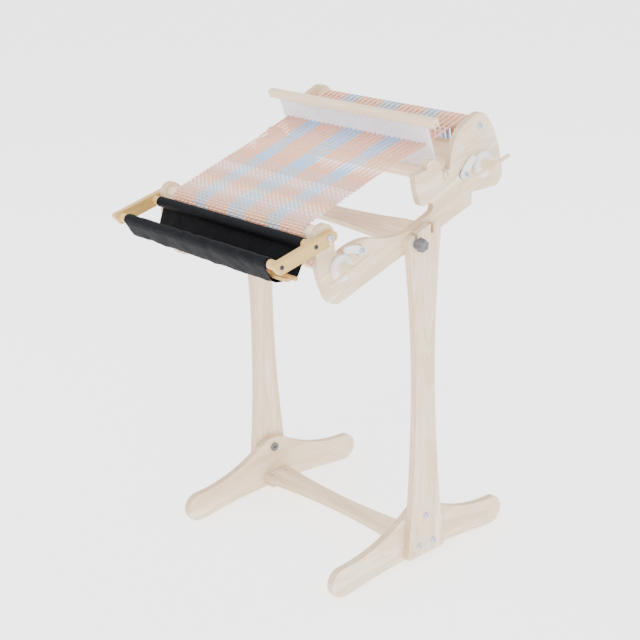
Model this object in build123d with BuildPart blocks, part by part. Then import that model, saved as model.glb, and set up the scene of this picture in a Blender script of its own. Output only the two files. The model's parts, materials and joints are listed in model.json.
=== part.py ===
from build123d import *
import os
from math import cos, sin, pi, radians

os.makedirs("parts", exist_ok=True)

# Rigid heddle loom on a floor stand, with a cloth pouch hung at its front. Millimetres.
# X runs across the loom, -Y is the weaver's side and Z is up from the floor.

# ---- stand ----
stand_y = 56.8          # stand centre, which puts the whole loom's middle on the origin
foot_gap = 415.0        # clear width between the feet
foot_t = 14.4
foot_length = 464.0
foot_height = 119.0
toe_r = 28.5
toe_pad = 12.0          # flat under each toe
arch_height = 13.0
upright_t = 14.3
upright_low_z = 17.0
upright_low_half = 49.5
waist_half = 24.5
waist_z = 395.0
upright_top_half = 41.0
slot_w = 7.0
slot_y = 22.5           # front slot, where the tilt bolt sits
back_slot_y = 18.5
stretcher_t = 12.7
stretcher_top_z = 41.0
stretcher_end_half = 32.5
stretcher_waist_half = 19.0
cleat_run = 27.0
cleat_t = 8.0
screw_r = 4.6
bolt_r = 3.1
bolt_head_r = 6.6
bolt_head_h = 3.6
running_gap = 0.06      # radial clearance of a turning shaft

# ---- loom frame; u runs from the weaver to the back, v is square to the warp ----
pivot_z = 641.0
tilt = 17.76
ply_t = 12.7
spacer_t = 4.0
spacer_r = 20.0
side_gap = 0.1
base_v = -16.4
front_u = -174.0        # front beam
back_u = 231.0          # back beam
beam_v = 112.0
beam_r = 14.0
ear_r = 21.5
reed_u = 124.0
roller_v = 43.5
roller_r = 11.0
cloth_roller_u = front_u + 11.0
warp_roller_u = back_u - 18.0
hub_out = 40.0          # roller end beyond the side frame
brace_t = 12.0
brace_u = 5.5
brace_v = 13.0
brace_end_half = 32.5
brace_waist_half = 19.0
back_brace_u = 181.0
back_brace_v = 54.0
back_brace_h = 98.0

# ---- ratchets and pawls ----
teeth = 36
ratchet_r = 24.0
tooth_h = 2.6
ratchet_t = 8.0
ratchet_gap = 1.0
handle_r = 4.0
handle_length = 98.0
handle_out = 26.0
pawl_reach = 26.5       # wheel rim to pawl bolt, along the frame
pawl_rise = 6.0
pawl_boss_r = 8.0
pawl_t = 6.0
pawl_disc_r = 9.0

# ---- heddle ----
rail_over = 4.4         # rail end beyond the side frame
rail_t = 15.0
rail_h = 16.5
low_rail_v = 69.0       # middle of the lower rail
high_rail_v = 172.5
slat_pitch = 6.35
reed_margin = 8.5       # plain end of the reed past its last slot
reed_end_gap = 6.1      # reed end to side frame
slat_w = 2.0
reed_t = 3.0
groove_d = 9.0
notch_gap = 0.5

# ---- warp and cloth ----
warp_t = 1.0
draw_in = 10.5          # how much narrower the cloth is than the warp, each side
cloth_t = 1.4
fell_u = -33.0
warp_stop = 6.0         # sheet end before the reed
cloth_roll_r = 16.0
warp_roll_r = 18.0

# ---- pouch ----
arm_t = 12.0
arm_gap = 1.2
arm_h = 23.0
arm_length = 142.0
arm_tilt = 13.0         # arm's slope from level
arm_tail = 17.0         # arm behind the hanging bolt
dowel_r = 8.5
cloth_wall = 2.0
fabric_end_gap = 18.0   # pouch cloth's edge to the arm
back_dowel_run = 33.2   # hanging bolt to back dowel
back_dowel_drop = 1.0
front_dowel_run = 111.0
front_dowel_drop = 1.5
pouch_front_drop = 43.0  # hanging bolt down to the pouch's front fold
pouch_back_drop = 55.5
pouch_back_run = 32.8   # back dowel to the back fold
fold_r = 12.0           # inside of the pouch's folds
shuttle_t = 6.0
shuttle_w = 28.0
shuttle_notch_w = 10.0
shuttle_notch = 23.0
shuttle_lift = 6.5      # room for the wound yarn under the shuttle
shuttle_set = 8.0       # front fold to the shuttle's middle
shuttle_end_gap = 51.0  # left arm to shuttle
shuttle_out = 8.0       # right shuttle end past the inside of the right arm

foot_in = foot_gap / 2
foot_out = foot_in + foot_t
upright_out = foot_out + upright_t
frame_out = foot_out - side_gap - spacer_t
frame_in = frame_out - ply_t
warp_v = beam_v + beam_r
rail_half = frame_out + rail_over
reed_half = frame_in - reed_end_gap
slat_count = round(2 * (reed_half - reed_margin) / slat_pitch)
warp_half = slat_count * slat_pitch / 2
cloth_half = warp_half - draw_in
arm_in = frame_out + arm_gap
arm_out = arm_in + arm_t
shuttle_length = 2 * arm_in - shuttle_end_gap + shuttle_out
pawl_run = ratchet_r + pawl_reach

stand = Plane(origin=(0, stand_y, 0), x_dir=(0, 1, 0), z_dir=(1, 0, 0))
pivot_y = stand_y - slot_y
loom = Plane(origin=(0, pivot_y, pivot_z),
             x_dir=(0, cos(radians(tilt)), sin(radians(tilt))), z_dir=(1, 0, 0))
hang_y = pivot_y + front_u * cos(radians(tilt)) - beam_v * sin(radians(tilt))
hang_z = pivot_z + front_u * sin(radians(tilt)) + beam_v * cos(radians(tilt))
arm_plane = Plane(origin=(0, hang_y, hang_z),
                  x_dir=(0, cos(radians(arm_tilt)), sin(radians(arm_tilt))), z_dir=(1, 0, 0))

RIGHT, LEFT = 1, -1


def slab(plane, side, x_near, thick):
    """Plane at the low-X face of a board lying from x_near outwards on one side."""
    return plane.offset(x_near if side == RIGHT else -x_near - thick)


def save(part, name):
    part.label = name
    export_step(part, f"parts/{name}.step")


# ================= stand =================
def foot_face():
    half = foot_length / 2
    toe_y = half - toe_r
    with BuildLine() as outline:
        Line((-toe_y + toe_pad, 0), (-toe_y, 0))
        ThreePointArc((-toe_y, 0), (-half, toe_r), (-toe_y, 2 * toe_r))
        ThreePointArc((-toe_y, 2 * toe_r), (-half * 0.48, foot_height - 47), (-36, foot_height - 12))
        ThreePointArc((-36, foot_height - 12), (0, foot_height), (36, foot_height - 12))
        ThreePointArc((36, foot_height - 12), (half * 0.48, foot_height - 47), (toe_y, 2 * toe_r))
        ThreePointArc((toe_y, 2 * toe_r), (half, toe_r), (toe_y, 0))
        Line((toe_y, 0), (toe_y - toe_pad, 0))
        ThreePointArc((toe_y - toe_pad, 0), (0, arch_height), (-toe_y + toe_pad, 0))
    make_face(outline.line)


bolt_spots = [(0, foot_height - 22), (-19, 38), (19, 38)]


def foot(side):
    with BuildPart() as board:
        with BuildSketch(slab(stand, side, foot_in, foot_t)):
            foot_face()
            with Locations(bolt_spots):
                Circle(bolt_r, mode=Mode.SUBTRACT)
        extrude(amount=foot_t)
    return board


left_foot = foot(LEFT)
right_foot = foot(RIGHT)


def upright_face():
    top = pivot_z + 28
    shoulder = pivot_z + 9
    neck_z = waist_z + 0.522 * (shoulder - waist_z)
    hip_z = 0.519 * waist_z
    with BuildLine() as outline:
        Line((-upright_low_half + 4, upright_low_z), (upright_low_half - 4, upright_low_z))
        ThreePointArc((upright_low_half - 4, upright_low_z),
                      (upright_low_half - 1.3, upright_low_z + 1.3),
                      (upright_low_half, upright_low_z + 5))
        ThreePointArc((upright_low_half, upright_low_z + 5), (waist_half + 6.5, hip_z),
                      (waist_half, waist_z))
        ThreePointArc((waist_half, waist_z), (waist_half + 5, neck_z),
                      (upright_top_half, shoulder))
        ThreePointArc((upright_top_half, shoulder), (upright_top_half - 4, shoulder + 13),
                      (28, top))
        Line((28, top), (12, top))
        Line((12, top), (-34, top - 15))
        ThreePointArc((-34, top - 15), (-39.5, top - 18.5), (-upright_top_half, top - 25))
        ThreePointArc((-upright_top_half, top - 25), (-waist_half - 5, neck_z),
                      (-waist_half, waist_z))
        ThreePointArc((-waist_half, waist_z), (-waist_half - 6.5, hip_z),
                      (-upright_low_half, upright_low_z + 5))
        ThreePointArc((-upright_low_half, upright_low_z + 5),
                      (-upright_low_half + 1.3, upright_low_z + 1.3),
                      (-upright_low_half + 4, upright_low_z))
    make_face(outline.line)


def open_slot(y, z_low):
    """Slot open at the top of the upright, with a round bottom."""
    with Locations((y, z_low)):
        Circle(slot_w / 2, mode=Mode.SUBTRACT)
        Rectangle(slot_w, 60, align=(Align.CENTER, Align.MIN), mode=Mode.SUBTRACT)


def upright(side):
    with BuildPart() as board:
        with BuildSketch(slab(stand, side, foot_out, upright_t)):
            upright_face()
            open_slot(-slot_y, pivot_z)
            open_slot(back_slot_y, pivot_z + 14)
            with Locations(bolt_spots):
                Circle(bolt_r, mode=Mode.SUBTRACT)
        extrude(amount=upright_t)
    return board


left_upright = upright(LEFT)
right_upright = upright(RIGHT)

deck = Plane(origin=(0, stand_y, stretcher_top_z - stretcher_t))


def waisted_board(half_run, end_half, waist):
    """Outline of a cross board, wide at both ends and narrow in the middle."""
    flare = half_run - 25
    with BuildLine() as outline:
        Line((-half_run, -end_half), (-flare, -end_half))
        ThreePointArc((-flare, -end_half), (0, -waist), (flare, -end_half))
        Line((flare, -end_half), (half_run, -end_half))
        Line((half_run, -end_half), (half_run, end_half))
        Line((half_run, end_half), (flare, end_half))
        ThreePointArc((flare, end_half), (0, waist), (-flare, end_half))
        Line((-flare, end_half), (-half_run, end_half))
        Line((-half_run, end_half), (-half_run, -end_half))
    make_face(outline.line)


cleat_x = foot_in - cleat_run / 2
screw_spots = [(x, y) for x in (-cleat_x, cleat_x) for y in (-19, 19)]
with BuildPart() as stretcher:
    with BuildSketch(deck):
        waisted_board(foot_in, stretcher_end_half, stretcher_waist_half)
    extrude(amount=stretcher_t)
    with BuildSketch(deck):
        with Locations(screw_spots):
            Circle(2.0)
    extrude(amount=stretcher_t, mode=Mode.SUBTRACT)

with BuildPart() as stretcher_cleats:
    with BuildSketch(deck):
        with Locations((-cleat_x, 0), (cleat_x, 0)):
            Rectangle(cleat_run, 2 * stretcher_end_half - 6)
    extrude(amount=-cleat_t)
    with BuildSketch(deck):
        with Locations(screw_spots):
            Circle(2.0)
    extrude(amount=3 - cleat_t, mode=Mode.SUBTRACT)

with BuildPart() as stretcher_screws:
    with BuildSketch(deck.offset(stretcher_t)):
        with Locations(screw_spots):
            Circle(screw_r)
    extrude(amount=1.6)
    with BuildSketch(deck.offset(stretcher_t)):
        with Locations(screw_spots):
            Circle(2.0)
    extrude(amount=3 - cleat_t - stretcher_t)


def dome_bolt(plane, spots, out, head_r=bolt_head_r, head_h=bolt_head_h, shank=20.0, r=bolt_r):
    """Dome-headed bolts: shank into the board, head on the face at plane."""
    with BuildSketch(plane) as heads:
        with Locations(spots):
            Circle(head_r)
    extrude(heads.sketch, amount=out * head_h, taper=28)
    with BuildSketch(plane) as shanks:
        with Locations(spots):
            Circle(r)
    extrude(shanks.sketch, amount=-out * shank)


def foot_bolts(side):
    with BuildPart() as bolts:
        dome_bolt(stand.offset(side * upright_out), bolt_spots, side, shank=upright_t + foot_t - 4)
    return bolts


with BuildPart() as upright_bolts:
    add(foot_bolts(RIGHT).part)
    add(foot_bolts(LEFT).part)

with BuildPart() as foot_nuts:
    for side in (RIGHT, LEFT):
        with BuildSketch(stand.offset(side * foot_in)):
            with Locations(bolt_spots[0]):
                Circle(9.5)
                RegularPolygon(3.0, 6, mode=Mode.SUBTRACT)
        extrude(amount=-side * 3.0)

# ================= loom side frames =================
notch_l = reed_u - rail_t / 2 - notch_gap
notch_r = reed_u + rail_t / 2 + notch_gap
notch_v = low_rail_v - rail_h / 2


def side_frame_face():
    """Ply side: front ear, low nose, heddle block with its notch, and the tall back."""
    f, r, b, v = front_u, reed_u, back_u, beam_v
    with BuildLine() as outline:
        ThreePointArc((f - 12, base_v), (f - 26, base_v + 9), (f - 33, base_v + 24))
        ThreePointArc((f - 33, base_v + 24), (f - 35.7, v - 74), (f - 30, v - 24))
        Line((f - 30, v - 24), (f - 20.8, v - 4))
        Line((f - 20.8, v - 4), (f + 16.5, v - 13.8))
        Line((f + 16.5, v - 13.8), (f + 12.8, v - 33))
        ThreePointArc((f + 12.8, v - 33), (f + 15.4, v - 41.5), (f + 23, v - 44.8))
        ThreePointArc((f + 23, v - 44.8), (f + 59, v - 46), (f + 94, v - 57.5))
        ThreePointArc((f + 94, v - 57.5), (f + 134, v - 80), (r - 120, 20))
        Line((r - 120, 20), (r - 64, 21.5))
        Line((r - 64, 21.5), (r - 57, 22.4))
        ThreePointArc((r - 57, 22.4), (r - 48.5, 31.5), (r - 55, 41))
        Line((r - 55, 41), (r - 66, 42.3))
        ThreePointArc((r - 66, 42.3), (r - 74.5, 45.5), (r - 78, 54))
        ThreePointArc((r - 78, 54), (r - 78, v - 32), (r - 73.5, v - 5.7))
        Line((r - 73.5, v - 5.7), (r - 41, v - 10.5))
        Line((r - 41, v - 10.5), (r - 40.5, v - 4))
        ThreePointArc((r - 40.5, v - 4), (r - 36, v + 0.3), (r - 30, v + 1))
        ThreePointArc((r - 30, v + 1), (r - 15, v - 6.5), (notch_l, v - 22))
        Line((notch_l, v - 22), (notch_l, notch_v))
        Line((notch_l, notch_v), (notch_r, notch_v))
        Line((notch_r, notch_v), (notch_r + 1, notch_v + 12))
        Line((notch_r + 1, notch_v + 12), (r + 16.5, v - 26))
        ThreePointArc((r + 16.5, v - 26), (b - 66, v + 7.5), (b - 12, v + 25))
        ThreePointArc((b - 12, v + 25), (b + 14, v + 20.5), (b + 25, v + 5))
        ThreePointArc((b + 25, v + 5), (b + 35.8, v - 50), (b + 31, v - 95))
        ThreePointArc((b + 31, v - 95), (b + 24.5, v - 119), (b + 4, base_v + 1.6))
        Line((b + 4, base_v + 1.6), (b - 52.3, base_v + 20))
        ThreePointArc((b - 52.3, base_v + 20), (b - 55.8, base_v + 20.6), (b - 57.7, base_v + 18))
        Line((b - 57.7, base_v + 18), (b - 63.5, base_v))
        Line((b - 63.5, base_v), (f - 12, base_v))
    make_face(outline.line)
    with Locations((front_u, beam_v)):
        Circle(ear_r)


pawl_spots = [(cloth_roller_u + pawl_run, roller_v + pawl_rise),
              (warp_roller_u - pawl_run, roller_v + pawl_rise)]


def side_frame(side):
    with BuildPart() as board:
        with BuildSketch(slab(loom, side, frame_in, ply_t)):
            side_frame_face()
            with Locations((cloth_roller_u, roller_v), (warp_roller_u, roller_v)):
                Circle(roller_r + running_gap, mode=Mode.SUBTRACT)
            with Locations((0, 0)):
                Circle(bolt_r + running_gap, mode=Mode.SUBTRACT)
            with Locations((front_u, beam_v), (back_u, beam_v)):
                Circle(bolt_r, mode=Mode.SUBTRACT)
            if side == RIGHT:
                with Locations(pawl_spots):
                    Circle(bolt_r, mode=Mode.SUBTRACT)
        extrude(amount=ply_t)
    return board


left_side_frame = side_frame(LEFT)
right_side_frame = side_frame(RIGHT)


def round_bar(u, v, r, x_low, x_high, bore=0.0, bore_depth=0.0):
    with BuildPart() as bar:
        with BuildSketch(loom.offset(x_low)):
            with Locations((u, v)):
                Circle(r)
        extrude(amount=x_high - x_low)
        if bore:
            for face_x, way in ((x_low, 1), (x_high, -1)):
                with BuildSketch(loom.offset(face_x)):
                    with Locations((u, v)):
                        Circle(bore)
                extrude(amount=way * bore_depth, mode=Mode.SUBTRACT)
    return bar


beam_bolt_grip = 22.0
front_beam = round_bar(front_u, beam_v, beam_r, -frame_in, frame_in, bolt_r, beam_bolt_grip)
back_beam = round_bar(back_u, beam_v, beam_r, -frame_in, frame_in, bolt_r, beam_bolt_grip)

# bottom brace lies flat between the side frames, back brace stands square to it
brace_plane = Plane(origin=loom.from_local_coords(Vector(brace_u, brace_v - brace_t / 2, 0)),
                    x_dir=(1, 0, 0), z_dir=loom.y_dir)
with BuildPart() as bottom_brace:
    with BuildSketch(brace_plane):
        waisted_board(frame_in, brace_end_half, brace_waist_half)
    extrude(amount=brace_t)

with BuildPart() as back_brace:
    with BuildSketch(loom.offset(-frame_in)):
        with Locations((back_brace_u, back_brace_v)):
            RectangleRounded(brace_t, back_brace_h, 2.0)
    extrude(amount=2 * frame_in)

with BuildPart() as tilt_spacers:
    for side in (RIGHT, LEFT):
        with BuildSketch(loom.offset(side * frame_out)):
            Circle(spacer_r)
            Circle(bolt_r + 0.2, mode=Mode.SUBTRACT)
        extrude(amount=side * spacer_t)

with BuildPart() as back_beam_bolts:
    for side in (RIGHT, LEFT):
        dome_bolt(loom.offset(side * frame_out), [(back_u, beam_v)], side,
                  shank=ply_t + beam_bolt_grip - 2)

with BuildPart() as hanging_bolts:
    for side in (RIGHT, LEFT):
        dome_bolt(loom.offset(side * (arm_out + 0.4)), [(front_u, beam_v)], side,
                  head_r=6.4, shank=arm_out + 0.4 - frame_in + beam_bolt_grip - 2)

pawl_x = frame_out + ratchet_gap + (ratchet_t - pawl_t) / 2
with BuildPart() as pawl_discs:
    with BuildSketch(loom.offset(frame_out)):
        with Locations(pawl_spots):
            Circle(pawl_disc_r)
            Circle(bolt_r, mode=Mode.SUBTRACT)
    extrude(amount=pawl_x - frame_out - 0.1)

with BuildPart() as pawl_bolts:
    dome_bolt(loom.offset(pawl_x + pawl_t + 0.1), pawl_spots, RIGHT,
              shank=pawl_x + pawl_t + 0.1 - frame_in)


# ================= rollers, ratchets and pawls =================
def ratchet(u):
    """Wheel with V-shaped gaps between its teeth; a gap faces the pawl."""
    root = ratchet_r - tooth_h
    half = pi / teeth
    with BuildPart() as wheel:
        with BuildSketch(loom.offset(frame_out + ratchet_gap)):
            with Locations((u, roller_v)):
                Circle(ratchet_r)
                Circle(roller_r, mode=Mode.SUBTRACT)
                with PolarLocations(0, teeth):
                    Polygon((root, 0), (ratchet_r + 1, -ratchet_r * half * 1.06),
                            (ratchet_r + 1, ratchet_r * half * 1.06), align=None,
                            mode=Mode.SUBTRACT)
        extrude(amount=ratchet_t)
    return wheel


def roller(u, handle_angle):
    with BuildPart() as bar:
        with BuildSketch(loom.offset(-frame_out)):
            with Locations((u, roller_v)):
                Circle(roller_r)
        extrude(amount=2 * frame_out + hub_out)
        with BuildSketch(handle_plane(u, handle_angle)):
            Circle(handle_r)
        extrude(amount=roller_r * 2, both=True, mode=Mode.SUBTRACT)
    return bar


def handle_plane(u, angle):
    along = loom.x_dir * cos(radians(angle)) + loom.y_dir * sin(radians(angle))
    return Plane(origin=loom.from_local_coords(Vector(u, roller_v, frame_out + handle_out)),
                 x_dir=(1, 0, 0), z_dir=along)


def handle(u, angle):
    with BuildPart() as rod:
        with BuildSketch(handle_plane(u, angle)):
            Circle(handle_r)
        extrude(amount=handle_length / 2, both=True)
        chamfer(rod.edges().filter_by(GeomType.CIRCLE), length=0.8)
    return rod


cloth_roller = roller(cloth_roller_u, 2.0)
warp_roller = roller(warp_roller_u, -4.0)
cloth_ratchet = ratchet(cloth_roller_u)
warp_ratchet = ratchet(warp_roller_u)
cloth_handle = handle(cloth_roller_u, 2.0)
warp_handle = handle(warp_roller_u, -4.0)

def pawl(u, way):
    """Curved arm from its bolt to one gap of the wheel; way +1 has the bolt behind the wheel."""
    def at(du, dv):
        return (u + way * du, roller_v + dv)

    def around(out, angle):
        """Point outside the wheel's rim by out, at an angle from the line to the bolt side."""
        r = ratchet_r + out
        return at(r * cos(radians(angle)), r * sin(radians(angle)))

    gap = 360 / teeth * round(50 * teeth / 360)
    tip = around(0.35 - tooth_h, gap)
    nose_low, nose_high = around(2.2, gap - 2.3), around(2.2, gap + 2.3)
    knee = around(12.6, 51.1)
    px, pv = pawl_run, pawl_rise
    top = at(px + 2.5, pv + pawl_boss_r - 0.4)
    low = at(px - 2.5, pv - pawl_boss_r + 0.4)
    elbow = around(4.5, 32.7)
    with BuildPart() as arm:
        with BuildSketch(loom.offset(pawl_x)):
            with BuildLine():
                Line(tip, nose_high)
                ThreePointArc(nose_high, around(5.6, 58.2), knee)
                ThreePointArc(knee, around(20.1, 33), top)
                Line(top, low)
                ThreePointArc(low, around(12.3, 15.2), elbow)
                Line(elbow, nose_low)
                Line(nose_low, tip)
            make_face()
            with Locations(at(px, pv)):
                Circle(pawl_boss_r)
                Circle(bolt_r + running_gap, mode=Mode.SUBTRACT)
        extrude(amount=pawl_t)
    return arm


cloth_pawl = pawl(cloth_roller_u, 1)
warp_pawl = pawl(warp_roller_u, -1)


# ================= heddle =================
def rail(v, toward):
    """Hardwood rail with a groove that holds the reed; toward +1 opens upwards."""
    with BuildPart() as bar:
        with BuildSketch(loom.offset(-rail_half)):
            with Locations((reed_u, v)):
                RectangleRounded(rail_t, rail_h, 3.5)
            with Locations((reed_u, v + toward * (rail_h / 2 - groove_d / 2))):
                Rectangle(reed_t, groove_d, mode=Mode.SUBTRACT)
        extrude(amount=2 * rail_half)
    return bar


low_rail = rail(low_rail_v, 1)
high_rail = rail(high_rail_v, -1)

reed_low = low_rail_v + rail_h / 2 - groove_d
reed_high = high_rail_v - rail_h / 2 + groove_d
open_low = low_rail_v + rail_h / 2 + 3
open_high = high_rail_v - rail_h / 2 - 3
reed_plane = Plane(origin=loom.from_local_coords(Vector(reed_u - reed_t / 2, 0, 0)),
                   x_dir=(1, 0, 0), z_dir=-loom.x_dir)
with BuildPart() as reed:
    with BuildSketch(reed_plane):
        with Locations((0, (reed_low + reed_high) / 2)):
            Rectangle(2 * reed_half, reed_high - reed_low)
        with Locations([(slat_pitch * (i - slat_count / 2), (open_low + open_high) / 2)
                        for i in range(slat_count + 1)]):
            Rectangle(slat_pitch - slat_w, open_high - open_low, mode=Mode.SUBTRACT)
    extrude(amount=-reed_t)
    with BuildSketch(reed_plane):
        with Locations([(slat_pitch * (i + 0.5 - slat_count / 2), warp_v)
                        for i in range(slat_count)]):
            Rectangle(1.2, 5.0)
    extrude(amount=-reed_t, mode=Mode.SUBTRACT)


# ================= warp and cloth =================
def sheet_strip(u_a, u_b, v_low, thick, half):
    with BuildSketch(loom.offset(-half)) as strip:
        with Locations(((u_a + u_b) / 2, v_low + thick / 2)):
            Rectangle(abs(u_b - u_a), thick)
    extrude(strip.sketch, amount=2 * half)


def tangent_leg(u, r_top, u_low, r_low, way):
    """Ends of the straight run from a beam down to a roll, touching both on the way side."""
    du, dv = u_low - u, roller_v - beam_v
    span = (du * du + dv * dv) ** 0.5
    lean = (r_top - r_low) / span
    hold = (1 - lean * lean) ** 0.5
    cu, cv = du / span, dv / span
    nu = cu * lean - way * cv * hold
    nv = cv * lean + way * cu * hold
    return ((u + r_top * nu, beam_v + r_top * nv), (u_low + r_low * nu, roller_v + r_low * nv),
            (nu, nv))


def wrapped_strip(u_start, beam_u, roll_u, roll_r, thick, half, way):
    """Sheet from u_start over a beam, down its far side and onto a roll."""
    inner, outer = beam_r, beam_r + thick
    top_in, low_in, normal = tangent_leg(beam_u, inner, roll_u, roll_r, way)
    nu, nv = normal
    mid_u, mid_v = nu, nv + 1
    size = (mid_u * mid_u + mid_v * mid_v) ** 0.5
    mid_u, mid_v = mid_u / size, mid_v / size
    with BuildSketch(loom.offset(-half)) as strip:
        with BuildLine():
            Line((u_start, beam_v + inner), (beam_u, beam_v + inner))
            ThreePointArc((beam_u, beam_v + inner),
                          (beam_u + inner * mid_u, beam_v + inner * mid_v), top_in)
            Line(top_in, low_in)
            Line(low_in, (low_in[0] + thick * nu, low_in[1] + thick * nv))
            Line((low_in[0] + thick * nu, low_in[1] + thick * nv),
                 (beam_u + outer * nu, beam_v + outer * nv))
            ThreePointArc((beam_u + outer * nu, beam_v + outer * nv),
                          (beam_u + outer * mid_u, beam_v + outer * mid_v),
                          (beam_u, beam_v + outer))
            Line((beam_u, beam_v + outer), (u_start, beam_v + outer))
            Line((u_start, beam_v + outer), (u_start, beam_v + inner))
        make_face()
    extrude(strip.sketch, amount=2 * half)


with BuildPart() as warp_front:
    sheet_strip(fell_u, reed_u - warp_stop, warp_v, warp_t, warp_half)

with BuildPart() as warp_back:
    wrapped_strip(reed_u + warp_stop, back_u, warp_roller_u, warp_roll_r + 0.3, warp_t, warp_half, 1)

with BuildPart() as cloth:
    wrapped_strip(fell_u, front_u, cloth_roller_u, cloth_roll_r + 0.3, cloth_t, cloth_half, -1)


def roll(u, r, half):
    with BuildPart() as wound:
        with BuildSketch(loom.offset(-half)):
            with Locations((u, roller_v)):
                Circle(r)
                Circle(roller_r, mode=Mode.SUBTRACT)
        extrude(amount=2 * half)
    return wound


cloth_roll = roll(cloth_roller_u, cloth_roll_r, cloth_half)
warp_roll = roll(warp_roller_u, warp_roll_r, warp_half)


# ================= tilt knobs =================
def knob(side):
    with BuildPart() as grip:
        with BuildSketch(loom.offset(side * (upright_out + 1.6))):
            Circle(9.0)
        extrude(amount=side * 4)
        with BuildSketch(loom.offset(side * (upright_out + 5.6))):
            Circle(10.5)
            with PolarLocations(10.5, 6):
                Circle(3.0)
        extrude(amount=side * 17, taper=5)
    return grip


def knob_bolt(side):
    with BuildPart() as bolt:
        with BuildSketch(loom.offset(side * (frame_in + 0.5))):
            Circle(bolt_r)
        extrude(amount=side * (upright_out + 1.6 - frame_in - 0.5))
        with BuildSketch(loom.offset(side * (upright_out + 0.1))):
            Circle(9.5)
            Circle(bolt_r, mode=Mode.SUBTRACT)
        extrude(amount=side * 1.5)
    return bolt


left_knob = knob(LEFT)
right_knob = knob(RIGHT)
left_knob_bolt = knob_bolt(LEFT)
right_knob_bolt = knob_bolt(RIGHT)

# ================= pouch =================
back_dowel = (-back_dowel_run, -back_dowel_drop)
front_dowel = (-front_dowel_run, -front_dowel_drop)


def arm(side):
    """Bar that hooks over the hanging bolt through a slot open at its lower edge."""
    low, high = -arm_h / 2 - 2.5, arm_h / 2 - 2.5
    front = arm_tail - arm_length
    with BuildPart() as bar:
        with BuildSketch(slab(arm_plane, side, arm_in, arm_t)):
            with BuildLine():
                Line((front + 9, low), (-4.6, low))
                Line((-4.6, low), (-4.6, low + 4))
                Line((-4.6, low + 4), (arm_tail - 8, low + 4))
                ThreePointArc((arm_tail - 8, low + 4), (arm_tail, (low + 4 + high) / 2),
                              (arm_tail - 8, high))
                Line((arm_tail - 8, high), (front + 3, high))
                ThreePointArc((front + 3, high), (front, high - 3), (front + 0.5, high - 8))
                Line((front + 0.5, high - 8), (front + 9, low))
            make_face()
            with Locations((0, 0)):
                Circle(bolt_r + 0.4, mode=Mode.SUBTRACT)
                Rectangle(2 * bolt_r + 0.8, arm_h, align=(Align.CENTER, Align.MAX),
                          mode=Mode.SUBTRACT)
            with Locations(back_dowel, front_dowel):
                Circle(2.0, mode=Mode.SUBTRACT)
        extrude(amount=arm_t)
    return bar


left_arm = arm(LEFT)
right_arm = arm(RIGHT)


def pouch_dowel(spot):
    with BuildPart() as rod:
        with BuildSketch(arm_plane.offset(-arm_in)):
            with Locations(spot):
                Circle(dowel_r)
                Circle(2.0, mode=Mode.SUBTRACT)
        extrude(amount=2 * arm_in)
    return rod


back_pouch_dowel = pouch_dowel(back_dowel)
front_pouch_dowel = pouch_dowel(front_dowel)

with BuildPart() as arm_screws:
    for side in (RIGHT, LEFT):
        dome_bolt(arm_plane.offset(side * arm_out), [back_dowel, front_dowel], side,
                  head_r=4.2, head_h=2.2, shank=arm_t + 22, r=2.0)

fabric_half = arm_in - fabric_end_gap
pouch_floor = [(-front_dowel_run + fold_r, -pouch_front_drop + fold_r + cloth_wall),
               (-back_dowel_run - pouch_back_run, -pouch_back_drop + fold_r + cloth_wall)]


def pouch_hull(dowel_wrap, floor_r):
    with Locations(front_dowel, back_dowel):
        Circle(dowel_wrap)
    with Locations(pouch_floor):
        Circle(floor_r)
    make_hull()


with BuildPart() as pouch_fabric:
    with BuildSketch(arm_plane.offset(-fabric_half)) as pouch_profile:
        with BuildSketch(mode=Mode.PRIVATE) as inner_hull:
            pouch_hull(dowel_r + 0.1, fold_r)
        pouch_hull(dowel_r + 0.1 + cloth_wall, fold_r + cloth_wall)
        add(inner_hull.sketch, mode=Mode.SUBTRACT)
        with Locations(((front_dowel[0] + back_dowel[0]) / 2, -1)):
            Rectangle(front_dowel_run - back_dowel_run, 60, mode=Mode.SUBTRACT,
                      align=(Align.CENTER, Align.MIN))
    extrude(amount=2 * fabric_half)

floor_way = (Vector(*pouch_floor[1]) - Vector(*pouch_floor[0])).normalized()
shuttle_along = arm_plane.x_dir * floor_way.X + arm_plane.y_dir * floor_way.Y
shuttle_up = arm_plane.y_dir * floor_way.X - arm_plane.x_dir * floor_way.Y
shuttle_spot = (arm_plane.from_local_coords(Vector(*pouch_floor[0], arm_in + shuttle_out))
                + shuttle_along * shuttle_set - shuttle_up * (fold_r - shuttle_lift))
with BuildPart() as shuttle:
    with BuildSketch(Plane(origin=shuttle_spot, x_dir=shuttle_along, z_dir=shuttle_up)):
        with Locations((0, shuttle_length / 2)):
            RectangleRounded(shuttle_w, shuttle_length, 4)
        for end in (0, shuttle_length):
            with Locations((0, end)):
                Rectangle(shuttle_notch_w, 2 * shuttle_notch, mode=Mode.SUBTRACT)
    extrude(amount=shuttle_t)

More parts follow.
